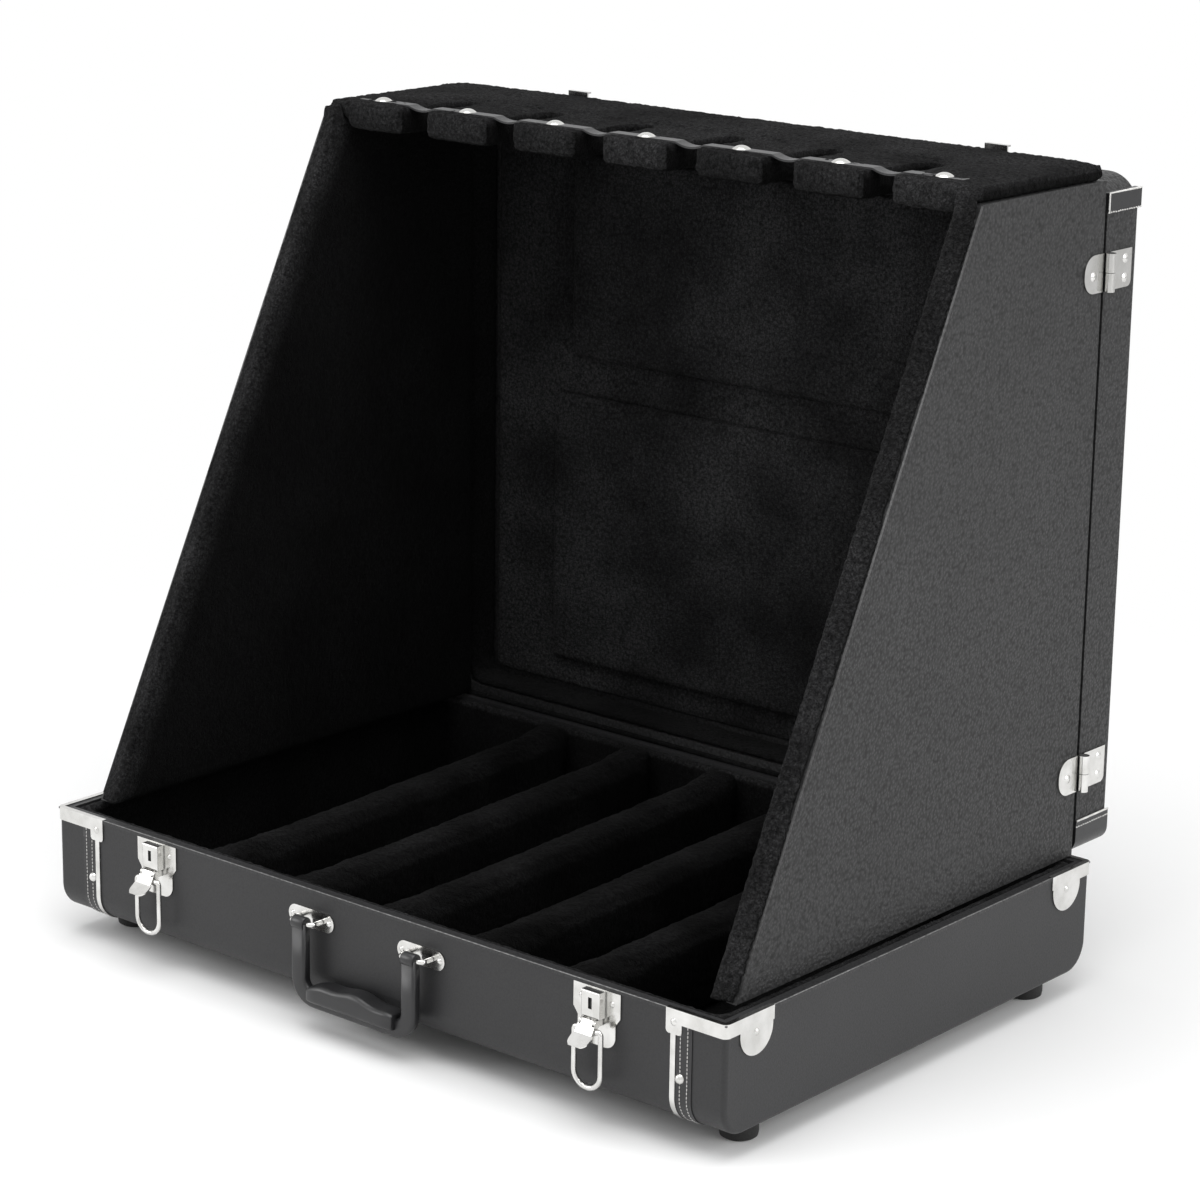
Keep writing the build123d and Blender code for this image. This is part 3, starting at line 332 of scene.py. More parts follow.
FINISHES = (
    Finish(
        "panel_vinyl", (0.034, 0.034, 0.035), (0.004, 0.004, 0.004), (0.40, 0.6), "pebble", 400, 0.4, specular=0.35
    ),
    Finish("tray_vinyl", (0.026, 0.026, 0.027), (0.020, 0.020, 0.021), (0.42, 0.5), "pebble", 700, 0.05, specular=0.36),
    Finish("edge_vinyl", (0.034, 0.034, 0.035), (0.014, 0.014, 0.015), (0.4, 0.5), "pebble", 620, 0.12, specular=0.4),
    # Painted highlight: the rim bead's vinyl is painted far paler than the tray's.
    Finish("bead_vinyl_painted_highlight", (0.240, 0.240, 0.238), (0.070, 0.070, 0.070), (0.3, 0.45), "pebble", 420, 0.2),
    # Painted highlight: the hem's vinyl is painted lighter than the panel's.
    Finish("hem_vinyl_painted_highlight", (0.075, 0.075, 0.076), (0.025, 0.025, 0.025), (0.3, 0.45), "pebble", 420, 0.2),
    Finish("band_vinyl", (0.016, 0.016, 0.017), (0.010, 0.010, 0.011), (0.3, 0.42), "pebble", 900, 0.05),
    Finish(
        "plush",
        (0.0165, 0.0165, 0.017),
        (0.0008, 0.0008, 0.0008),
        (0.9, 1.0),
        "nap",
        330,
        1.2,
        sheen=0.02,
        specular=0.03,
        drift=(0.6, 1.35),
        drift_scale=14.0,
        painted_light_mark=True,
    ),
    Finish(
        "nickel",
        (0.77, 0.765, 0.75),
        (0.62, 0.615, 0.595),
        (0.10, 0.24),
        "handling",
        60,
        0.008,
        metallic=1.0,
        drift=(0.96, 1.02),
        crevice_shade=0.92,
    ),
    Finish("bow_plastic", (0.017, 0.017, 0.018), (0.011, 0.011, 0.012), (0.28, 0.38), "handling", 45, 0.03),
    Finish("foot_rubber", (0.012, 0.012, 0.012), (0.008, 0.008, 0.008), (0.6, 0.8), "pebble", 900, 0.05),
    Finish("strap_gloss", (0.022, 0.022, 0.023), (0.012, 0.012, 0.013), (0.36, 0.48), "pebble", 800, 0.04),
    Finish("piping_white", (0.82, 0.81, 0.79), (0.60, 0.59, 0.57), (0.4, 0.55), "handling", 120, 0.05),
    Finish("thread_white", (0.80, 0.79, 0.77), (0.45, 0.44, 0.43), (0.6, 0.8), "nap", 2600, 0.1),
    # Painted shade: the lock barrel behind the keyhole is painted near black.
    Finish("keyway", (0.010, 0.010, 0.010), (0.004, 0.004, 0.004), (0.5, 0.7), "handling", 200, 0.02),
    Finish("core_board", (0.42, 0.30, 0.17), (0.30, 0.20, 0.11), (0.55, 0.7), "handling", 30, 0.1),
)


class Dresser:
    """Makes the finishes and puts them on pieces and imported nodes."""

    def __init__(self, nodes: dict[str, bpy.types.Object]) -> None:
        """Builds all finishes.

        Args:
            nodes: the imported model's nodes by name.
        """
        patterns = PatternLibrary()
        self.nodes = nodes
        self.materials = {finish.name: finish.build(patterns) for finish in FINISHES}

    def paint(self, piece: bpy.types.Object, finish: str) -> None:
        """Gives a new piece one finish."""
        piece.data.materials.clear()
        piece.data.materials.append(self.materials[finish])

    def keep(self, piece: bpy.types.Object, finish: str, body: str, slot: str) -> None:
        """Finishes a small new piece and says what it rides on.

        Args:
            piece: the new piece.
            finish: the finish that it gets.
            body: the body that it rides on.
            slot: the record's material slot; not used.
        """
        self.paint(piece, finish)
        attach(piece, body)
        log.info("%s: %d faces, rides on %s", piece.name, len(piece.data.polygons), body)

    @staticmethod
    def mark_painted_light(piece: bpy.types.Object, light: Light) -> None:
        """Notes at each point of a piece the painted light and shade that scale its pile's colour."""
        mark = piece.data.attributes.new(PAINTED_LIGHT_MARK, "FLOAT", "POINT")
        mark.data.foreach_set("value", [light(vert.co) for vert in piece.data.vertices])

    def finish_nodes(self, finish: str, names: Iterable[str]) -> None:
        """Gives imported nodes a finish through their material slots."""
        for name in names:
            node = self.nodes[name]
            if not node.material_slots:
                node.data.materials.append(self.materials[finish])
            for slot in node.material_slots:
                slot.material = self.materials[finish]


def shape_piece(name: str, bm: bmesh.types.BMesh) -> bpy.types.Object:
    """Turns a bmesh into a piece of the scene.

    Args:
        name: the piece's name.
        bm: the shape, in metres, which is freed.

    Returns:
        The new object, at the origin.
    """
    mesh = bpy.data.meshes.new(name)
    bmesh.ops.recalc_face_normals(bm, faces=bm.faces)
    for face in bm.faces:
        face.smooth = True
    bm.to_mesh(mesh)
    bm.free()
    piece = bpy.data.objects.new(name, mesh)
    bpy.context.scene.collection.objects.link(piece)
    return piece


def round_edges(bm: bmesh.types.BMesh, edges: Iterable[bmesh.types.BMEdge], radius: float) -> None:
    """Rounds edges over to a radius in millimetres."""
    bmesh.ops.bevel(
        bm, geom=list(edges), offset=radius * MM, segments=2, profile=0.5, affect="EDGES", material=-1
    )


def block(name: str, middle: Vector, size: Sequence[float], radius: float) -> bpy.types.Object:
    """Makes a block with rounded edges.

    Args:
        name: the piece's name.
        middle: its middle, in metres.
        size: its sides, in metres.
        radius: the radius of its edges in millimetres.

    Returns:
        The piece.
    """
    bm = bmesh.new()
    bmesh.ops.create_cube(bm, size=1.0, matrix=Matrix.Translation(middle) @ Matrix.Diagonal((*size, 1.0)))
    round_edges(bm, bm.edges, radius)
    return shape_piece(name, bm)


def bake_modifiers(piece: bpy.types.Object) -> None:
    """Replaces a piece's mesh with what its modifiers make of it."""
    graph = bpy.context.evaluated_depsgraph_get()
    mesh = bpy.data.meshes.new_from_object(piece.evaluated_get(graph))
    piece.modifiers.clear()
    piece.data = mesh


def drop_inner_shells(bm: bmesh.types.BMesh) -> None:
    """Removes the shells that lie inside another one, such as the wall of a slot in a pad."""
    shells: list[list[bmesh.types.BMVert]] = []
    seen: set[bmesh.types.BMVert] = set()
    for seed in bm.verts:
        if seed in seen:
            continue
        shell, queue = [], [seed]
        seen.add(seed)
        while queue:
            vert = queue.pop()
            shell.append(vert)
            for edge in vert.link_edges:
                other = edge.other_vert(vert)
                if other not in seen:
                    seen.add(other)
                    queue.append(other)
        shells.append(shell)
    boxes = [
        tuple(tuple(pick(vert.co[axis] for vert in shell) for axis in range(3)) for pick in (min, max))
        for shell in shells
    ]
    inner = []
    for shell, (low, high) in zip(shells, boxes):
        for other_low, other_high in boxes:
            if all(low[k] > other_low[k] and high[k] < other_high[k] for k in range(3)):
                inner += shell
                break
    bmesh.ops.delete(bm, geom=inner, context="VERTS")


@dataclass(frozen=True)
class Filling:
    """What a pad is stuffed with, for the cloth simulation that rounds it out.

    Attributes:
        shrink: how much smaller the cover starts, in millimetres.
        cap: how far a point may move, in millimetres.
        pressure: the air pressure that stands for the stuffing.
        hold_low: the height over which the movement fades in from the pad's foot, in millimetres.
        frames: how many frames it runs.
    """

    shrink: float
    cap: float
    pressure: float = 4.0
    hold_low: float = 0.0
    frames: int = 20


@dataclass
class PlushMaker:
    """Turns packed soft solids into plush pieces with a pile that stands up.

    Attributes:
        dresser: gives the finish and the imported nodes.
        cell: the spacing of the mesh's points in millimetres.
        rounding: how many smoothing passes round its edges.
        pile: the height of the pile's tufts in millimetres.
        tuft: the size of a tuft in millimetres.
        proud: how far the pile as a whole stands out, as a share of its height.
    """

    dresser: Dresser
    cell: float
    rounding: int = 6
    pile: float = 0.9
    tuft: float = 5.0
    proud: float = -0.1

    def cover(self, nodes: Sequence[str], name: str, overlap: float = 0.0) -> bpy.types.Object:
        """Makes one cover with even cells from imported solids.

        Args:
            nodes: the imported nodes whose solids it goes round.
            name: the piece's name.
            overlap: how far every solid but the first is raised into it, in millimetres.

        Returns:
            The cover, with rounded edges and no pile yet.
        """
        whole = bmesh.new()
        for number, node in enumerate(nodes):
            bm = bmesh.new()
            bm.from_mesh(self.dresser.nodes[node].data)
            bmesh.ops.remove_doubles(bm, verts=bm.verts, dist=WELD)
            drop_inner_shells(bm)
            if number:
                top = max(vert.co.z for vert in bm.verts)
                for vert in bm.verts:
                    if vert.co.z > top - 0.2 * MM:
                        vert.co.z += overlap * MM
            part = bpy.data.meshes.new("part")
            bm.to_mesh(part)
            bm.free()
            whole.from_mesh(part)
            bpy.data.meshes.remove(part)
        piece = shape_piece(name, whole)
        remesh = piece.modifiers.new("even_cells", "REMESH")
        remesh.mode = "VOXEL"
        remesh.voxel_size = self.cell * MM
        bake_modifiers(piece)
        bm = bmesh.new()
        bm.from_mesh(piece.data)
        for _ in range(self.rounding):
            bmesh.ops.smooth_vert(bm, verts=bm.verts, factor=0.5, use_axis_x=True, use_axis_y=True, use_axis_z=True)
        bm.to_mesh(piece.data)
        bm.free()
        return piece

    def stuff(self, piece: bpy.types.Object, filling: Filling) -> None:
        """Rounds a cover out by cloth simulation, with its points' movement capped.

        Args:
            piece: the cover, which is left with no Cloth on it.
            filling: the stuffing.
        """
        mesh = piece.data
        for vert in mesh.vertices:
            vert.co -= vert.normal * (filling.shrink * MM)
        starts = [vert.co.copy() for vert in mesh.vertices]
        cloth = piece.modifiers.new("stuffing", "CLOTH")
        cloth.settings.use_pressure = True
        cloth.settings.uniform_pressure_force = filling.pressure
        cloth.settings.effector_weights.gravity = 0.0
        cloth.settings.quality = 4
        cloth.point_cache.frame_start = 1
        cloth.point_cache.frame_end = filling.frames
        scene = bpy.context.scene
        for number in range(1, filling.frames + 1):
            scene.frame_set(number)
        graph = bpy.context.evaluated_depsgraph_get()
        ends = [vert.co.copy() for vert in piece.evaluated_get(graph).data.vertices]
        piece.modifiers.remove(cloth)
        scene.frame_set(1)
        foot = min(start.z for start in starts)
        for vert, start, end in zip(mesh.vertices, starts, ends):
            limit = filling.cap * MM
            if filling.hold_low:
                limit *= min(1.0, (start.z - foot) / (filling.hold_low * MM))
            shift = end - start
            if shift.length > limit:
                shift *= limit / shift.length
            vert.co = start + shift
        finer = piece.modifiers.new("finer", "SUBSURF")
        finer.levels = finer.render_levels = 1
        bake_modifiers(piece)

    def finish(
        self,
        piece: bpy.types.Object,
        nodes: Sequence[str],
        body: str,
        fill: float,
        light: Light = even_light,
    ) -> bpy.types.Object:
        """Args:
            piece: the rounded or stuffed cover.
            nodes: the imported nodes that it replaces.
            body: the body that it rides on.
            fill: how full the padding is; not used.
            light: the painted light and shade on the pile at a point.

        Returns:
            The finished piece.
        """
        bm = bmesh.new()
        bm.from_mesh(piece.data)
        bm.normal_update()
        self.raise_pile(bm)
        for face in bm.faces:
            face.smooth = True
        bm.to_mesh(piece.data)
        bm.free()
        self.dresser.mark_painted_light(piece, light)
        self.dresser.keep(piece, "plush", body, "plush")
        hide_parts(*nodes)
        return piece

    def make(self, node: str, name: str, body: str, fill: float, light: Light = even_light) -> bpy.types.Object:
        """Makes one lining that lies on a board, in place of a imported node."""
        return self.finish(self.cover([node], name), [node], body, fill, light)

    @staticmethod
    def move_points(piece: bpy.types.Object, shift: Callable[[Vector], Vector]) -> None:
        """Moves each point of a cover by what a rule gives for its place."""
        for vert in piece.data.vertices:
            vert.co += shift(vert.co)

    def raise_pile(self, bm: bmesh.types.BMesh) -> None:
        """Moves every point along its normal by the height of its tuft."""
        large = 1.0 / (self.tuft * MM)
        fine = large * 2.7
        for vert in bm.verts:
            tuft = noise.noise(vert.co * large) + 0.6 * noise.noise(vert.co * fine + Vector((7.1, 3.3, 1.9)))
            vert.co += vert.normal * (self.pile * MM * (tuft + self.proud))


def tube(name: str, runs: Sequence[Sequence[Vector]], radius: float) -> bpy.types.Object:
    """Makes round cord along one or more runs of points.

    Args:
        name: the piece's name.
        runs: the points of each run, in metres.
        radius: the cord's radius in millimetres.

    Returns:
        The piece, as a mesh with closed ends.
    """
    curve = bpy.data.curves.new(name, "CURVE")
    curve.dimensions = "3D"
    curve.bevel_depth = radius * MM
    curve.bevel_resolution = 2
    curve.use_fill_caps = True
    for run in runs:
        spline = curve.splines.new("POLY")
        spline.points.add(len(run) - 1)
        for point, place in zip(spline.points, run):
            point.co = (*place, 1.0)
    drawn = bpy.data.objects.new(name, curve)
    bpy.context.scene.collection.objects.link(drawn)
    graph = bpy.context.evaluated_depsgraph_get()
    bm = bmesh.new()
    bm.from_mesh(drawn.evaluated_get(graph).to_mesh())
    bpy.data.objects.remove(drawn)
    bmesh.ops.remove_doubles(bm, verts=bm.verts, dist=0.000005)
    return shape_piece(name, bm)


@dataclass(frozen=True)
class Stitching:
    """One kind of sewn thread.

    Attributes:
        long: the length of a stitch in millimetres.
        gap: the gap between two stitches in millimetres.
        radius: half the thickness of the thread in millimetres.
        stray: how far a stitch strays from the line, in millimetres.
    """

    long: float = 2.4
    gap: float = 0.8
    radius: float = 0.4
    stray: float = 0.15

    def sew(self, name: str, runs: Sequence[Sequence[Vector]]) -> bpy.types.Object:
        """Lays stitches along runs of points.

        Args:
            name: the piece's name.
            runs: the points of each run, in metres.

        Returns:
            One piece with all the stitches.
        """
        bm = bmesh.new()
        step = (self.long + self.gap) * MM
        for run in runs:
            done = 0.0
            for start, end in zip(run, run[1:]):
                along = end - start
                while done < along.length:
                    place = start + along.normalized() * done
                    wander = noise.noise_vector(place * 900.0) * (self.stray * MM)
                    turn = along.normalized().to_track_quat("X", "Z").to_matrix().to_4x4()
                    size = Matrix.Diagonal((self.long * MM * 0.5, self.radius * MM, self.radius * MM, 1.0))
                    matrix = Matrix.Translation(place + wander) @ turn @ size
                    bmesh.ops.create_icosphere(bm, subdivisions=1, radius=1.0, matrix=matrix)
                    done += step
                done -= along.length
        return shape_piece(name, bm)


@dataclass
class Lined:
    """A part of the stand that is lined with plush.

    Attributes:
        maker: makes the plush pieces.
        dresser: gives the finishes.
    """

    maker: PlushMaker
    dresser: Dresser


@dataclass
class Tray(Lined):
    """The base: plush lining, padded ribs, stitched bindings and its hardware.

    Attributes:
        ribs: how many padded ribs stand in the tray.
        under_round: the radius of the tray's lower front edge in millimetres.
        binding_thick: the thickness of the end bindings in millimetres.
        thread_lines: where the rows of thread run on a binding, from its inner edge, in millimetres.
        thread_under: how far the rows of thread run on under the tray, in millimetres.
        thread_lift: how far the thread's middle is off the binding in millimetres.
        thread_below: how far below the bracket's bar the thread starts, in millimetres.
        bend_points: how many lengths take a row of thread round the tray's lower edge.
        head_lap: the gap over a binding's head and the lap under it, in millimetres.
        bead_radius: the radius of the bead along the rim in millimetres.
        bar_tall: how far the corner brackets' bars reach down the front in millimetres.
        bead_low: how far the bead's middle is below the rim's top in millimetres.
        bead_in: how far it is in from the tray's faces in millimetres.
        lit_rim: how far the painted light on the top of the wall's lining reaches down, in millimetres.
        lit_rib: how far the painted light on a rib's top reaches down, in millimetres.
        barrel: the sides of a lock's barrel in millimetres.
        barrel_back: how far its middle is behind the lock box's face in millimetres.
        barrel_rise: how far its middle is above the lock box's in millimetres.
        foot_profile: the radius and height of points up a foot's outline in millimetres.
    """

    ribs: int = 5
    under_round: float = 24.0
    binding_thick: float = 0.7
    thread_lines: tuple[float, float] = (4.2, 11.0)
    thread_under: float = 22.0
    thread_lift: float = 0.1
    thread_below: float = 1.0
    bend_points: int = 8
    head_lap: float = 0.2
    bead_radius: float = 1.1
    bar_tall: float = 10.5
    bead_low: float = 0.55
    bead_in: float = 0.35
    lit_rim: float = 5.0
    lit_rib: float = 16.0
    barrel: tuple[float, float, float] = (3.4, 3.0, 8.8)
    barrel_back: float = 2.6
    barrel_rise: float = 1.0
    foot_profile: tuple[tuple[float, float], ...] = (
        (0.0, 7.0),
        (5.2, 7.0),
        (5.2, 0.5),
        (5.8, 0.0),
        (12.6, 0.0),
        (14.6, 1.4),
        (15.2, 4.5),
        (15.2, 20.4),
        (0.0, 20.4),
    )

    def build(self) -> None:
        """Makes the tray's soft pieces and finishes its nodes."""
        rim = node_box("tray_wall_lining")[1][2]
        # Painted light on the top edge of the wall's lining and painted shade down the wall below it.
        self.maker.make(
            "tray_wall_lining",
            "tray_wall_plush",
            "tray",
            fill=0.4,
            light=lambda place: 2.6 if place.z > rim - self.lit_rim * MM else 0.7,
        )
        # Painted shade: the floor lining's colour is painted darker.
        self.maker.make("tray_floor_lining", "tray_floor_plush", "tray", fill=0.3, light=lambda place: 0.6)
        self._ribs()
        self._feet()
        self._threads()
        self._bead()
        self._keyways()
        sides = [side.word for side in Side]
        corners = [f"{end}_{side}" for end in ("front", "rear") for side in sides]
        self.dresser.finish_nodes("tray_vinyl", ["tray_shell"])
        self.dresser.finish_nodes("edge_vinyl", ["rim_edging"])
        self.dresser.finish_nodes("band_vinyl", [f"end_binding_{side}" for side in sides])
        metal = [f"corner_bracket_{corner}" for corner in corners]
        for side in sides:
            metal += [f"end_strip_{side}", f"latch_plate_{side}", f"lock_box_{side}", f"handle_mount_{side}"]
            metal += [f"latch_lever_{side}", f"latch_bail_{side}"]
        metal += ["tray_rivets", "rear_hinge_tray_leaves", "rear_hinge_pins", "foot_screws"]
        self.dresser.finish_nodes("nickel", metal)

    def _ribs(self) -> None:
        """Stuffs one rib and sets a copy of it in each place, each with its own pile."""
        first = self.maker.cover(["divider_1"], "padded_rib_1")
        self.maker.stuff(first, Filling(shrink=1.5, cap=4.5, hold_low=30.0))
        start_x = node_box("divider_1")[0][0]
        covers = [first]
        for number in range(2, self.ribs + 1):
            cover = bpy.data.objects.new(f"padded_rib_{number}", first.data.copy())
            bpy.context.scene.collection.objects.link(cover)
            cover.data.transform(Matrix.Translation((node_box(f"divider_{number}")[0][0] - start_x, 0.0, 0.0)))
            covers.append(cover)
        for number, cover in enumerate(covers, 1):
            self.maker.finish(cover, [f"divider_{number}"], "tray", 0.8, self._rib_light)

    def _rib_light(self, place: Vector) -> float:
        """Paints the top of a rib lighter than its sides as painted light, in patches of painted sheen where hands have
        rubbed the pile.
        """
        top = node_box("divider_1")[1][2]
        brushed_sheen = 0.75 + 0.9 * noise.noise(place * 22.0)
        return max(0.25, brushed_sheen if place.z > top - self.lit_rib * MM else 0.7 * brushed_sheen)

    def _feet(self) -> None:
        """Turns the four rubber feet, each with a recess for its screw."""
        for end in ("front", "rear"):
            for side in Side:
                name = f"foot_{end}_{side.word}"
                low, high = node_box(name)
                centre = Vector(((low[0] + high[0]) / 2, (low[1] + high[1]) / 2, 0.0))
                bm = bmesh.new()
                points = [bm.verts.new(centre + Vector((r * MM, 0.0, z * MM))) for r, z in self.foot_profile]
                outline = [bm.edges.new(pair) for pair in zip(points, points[1:])]
                bmesh.ops.spin(
                    bm,
                    geom=points + outline,
                    cent=centre,
                    axis=(0.0, 0.0, 1.0),
                    angle=math.tau,
                    steps=48,
                    use_merge=True,
                )
                bmesh.ops.remove_doubles(bm, verts=bm.verts, dist=WELD)
                foot = shape_piece(f"rubber_foot_{end}_{side.word}", bm)
                sharp = foot.modifiers.new("crisp", "EDGE_SPLIT")
                sharp.split_angle = math.radians(40.0)
                bake_modifiers(foot)
                self.dresser.keep(foot, "foot_rubber", "tray", "foot_rubber")
                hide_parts(name)

    def _threads(self) -> None:
        """Sews two rows of white thread on each end binding."""
        front, low = node_box("tray_shell")[0][1], node_box("tray_shell")[0][2]
        bend = self.under_round * MM
        reach = bend + (self.binding_thick + self.thread_lift) * MM
        for side in Side:
            box = node_box(f"end_binding_{side.word}")
            inner = min(abs(box[0][0]), abs(box[1][0]))
            runs = []
            for line in self.thread_lines:
                x = side.value * (inner + line * MM)
                head_z = node_box("rim_edging")[1][2] - (self.bar_tall + self.thread_below) * MM
                run = [Vector((x, front - (self.binding_thick + self.thread_lift) * MM, head_z))]
                for number in range(self.bend_points + 1):
                    angle = math.radians(number * 90.0 / self.bend_points)
                    run.append(
                        Vector((x, front + bend - reach * math.cos(angle), low + bend - reach * math.sin(angle)))
                    )
                run[-1].y = front + self.thread_under * MM
                runs.append(run)
            rows = Stitching(long=2.8, gap=0.4, radius=0.5).sew(f"binding_thread_{side.word}", runs)
            self.dresser.keep(rows, "thread_white", "tray", "trim_band")
            outer = max(abs(box[0][0]), abs(box[1][0]))
            top = node_box("rim_edging")[1][2] - (self.bar_tall + self.head_lap) * MM
            foot = box[1][2] - self.head_lap * MM
            middle = Vector((side.value * (inner + outer) / 2, front - self.binding_thick * MM / 2, (top + foot) / 2))
            size = (outer - inner, self.binding_thick * MM, top - foot)
            head = block(f"binding_head_{side.word}", middle, size, 0.2)
            self.dresser.keep(head, "band_vinyl", "tray", "trim_band")

    def _bead(self) -> None:
        """Runs the bead along the outer top edge of the front and both ends, painted pale as a painted highlight on the
        rim's edge.
        """
        low, high = node_box("tray_shell")
        z = node_box("rim_edging")[1][2] - self.bead_low * MM
        inset = self.bead_in * MM
        left, right, front = low[0] + inset, high[0] - inset, low[1] + inset
        run = [Vector((x, y, z)) for x, y in ((left, high[1]), (left, front), (right, front), (right, high[1]))]
        bead = tube("rim_bead", [run], self.bead_radius)
        self.dresser.keep(bead, "bead_vinyl_painted_highlight", "tray", "vinyl")

    def _keyways(self) -> None:
        """Sets the lock's barrel behind each keyhole, painted near black as painted shade inside the keyhole."""
        for side in Side:
            low, high = node_box(f"lock_box_{side.word}")
            middle = (Vector(low) + Vector(high)) * 0.5
            place = Vector((middle.x, low[1] + self.barrel_back * MM, middle.z + self.barrel_rise * MM))
            barrel = block(f"lock_keyway_{side.word}", place, [side_mm * MM for side_mm in self.barrel], 0.4)
            self.dresser.keep(barrel, "keyway", "tray", "nickel")


@dataclass
class BackShell(Lined):
    """The upright back: linings, raised pads, corner bands and catches.

    Attributes:
        upper_band: how far the upper corner bands' edges are below the top, in millimetres.
        lower_band: how far the lower corner bands' upper edge is above the foot, in millimetres.
        piping_radius: the radius of the white piping in millimetres.
        piping_in: how far the piping's ends are in from the shell's edges in millimetres.
        piping_out: how far its middle is outside the bands' faces in millimetres.
        thread_drop: how far the lower bands' thread is below their edge in millimetres.
        seam_roll: the radius of the plush roll along the seam in millimetres.
        roll_points: how many lengths the roll is made of.
        roll_short: how far short of the wall's lining it ends, in millimetres.
    """

    upper_band: tuple[float, float] = (26.0, 10.5)
    lower_band: float = 28.0
    piping_radius: float = 0.85
    piping_in: float = 0.8
    piping_out: float = 0.2
    thread_drop: float = 5.0
    seam_roll: float = 2.4
    roll_points: int = 120
    roll_short: float = 2.0

    def build(self) -> None:
        """Makes the back shell's soft pieces and finishes its nodes."""
        self.maker.make("lid_wall_lining", "back_shell_wall_plush", "back_shell", fill=0.3)
        self.maker.make("lid_back_lining", "back_shell_plush", "back_shell", 0.3, self._brushed)
        pads = self.maker.cover(["lid_back_pads"], "back_pads_plush")
        self.maker.finish(pads, ["lid_back_pads"], "back_shell", 0.5, self._brushed)
        self._piping()
        self._seam_roll()
        self.dresser.finish_nodes("panel_vinyl", ["lid_shell"])
        self.dresser.finish_nodes("band_vinyl", ["lid_corner_trims"])
        metal = ["catch_left", "catch_right", "lid_rivets", "rear_hinge_lid_leaves", "side_hinge_lid_leaves"]
        self.dresser.finish_nodes("nickel", metal)

    def _piping(self) -> None:
        """Edges the corner bands with white piping and a row of thread."""
        shell, bands = node_box("lid_shell"), node_box("lid_corner_trims")
        seam, back = shell[0][1] + self.piping_in * MM, shell[1][1] - self.piping_in * MM
        top, foot = shell[1][2], shell[0][2]
        wide = bands[1][0] + self.piping_out * MM
        cords, threads = [], []
        for side in Side:
            x = side.value * wide
            high, low = top - self.upper_band[1] * MM, top - self.upper_band[0] * MM
            cords.append([Vector((x, seam, low)), Vector((x, seam, high)), Vector((x, back, high))])
            threads.append([Vector((x, seam, low)), Vector((x, back, low))])
            edge = foot + self.lower_band * MM
            cords.append([Vector((x, seam, edge)), Vector((x, back, edge))])
            sewn = edge - self.thread_drop * MM
            threads.append([Vector((x, seam, sewn)), Vector((x, back, sewn))])
        piping = tube("corner_piping", cords, self.piping_radius)
        self.dresser.keep(piping, "piping_white", "back_shell", "trim_band")
        rows = Stitching(long=3.0, gap=0.3, radius=0.75, stray=0.35).sew("corner_thread", threads)
        self.dresser.keep(rows, "thread_white", "back_shell", "trim_band")

    @staticmethod
    def _brushed(place: Vector) -> float:
        """Paints the back's pile lighter than the walls' as painted light, with upright patches of painted sheen where
        leaning bodies have rubbed the nap.
        """
        streak = noise.noise(Vector((place.x * 9.0, 0.0, place.z * 2.5)))
        cloud = noise.noise(place * 13.0)
        return max(0.9, 3.0 + 2.2 * streak + 1.2 * cloud)

    def _seam_roll(self) -> None:
        """Lays the plush roll that closes the seam between the back shell and the tray."""
        shell = node_box("lid_shell")
        reach = node_box("lid_wall_lining")[1][0] - self.roll_short * MM
        radius = self.seam_roll
        y = shell[0][1] - radius * MM
        z = node_box("rim_edging")[1][2] + radius * MM
        count = self.roll_points
        run = [Vector((-reach + 2.0 * reach * k / count, y, z)) for k in range(count + 1)]
        roll = tube("seam_roll", [run], radius)
        self.dresser.mark_painted_light(roll, even_light)
        self.dresser.keep(roll, "plush", "back_shell", "plush")


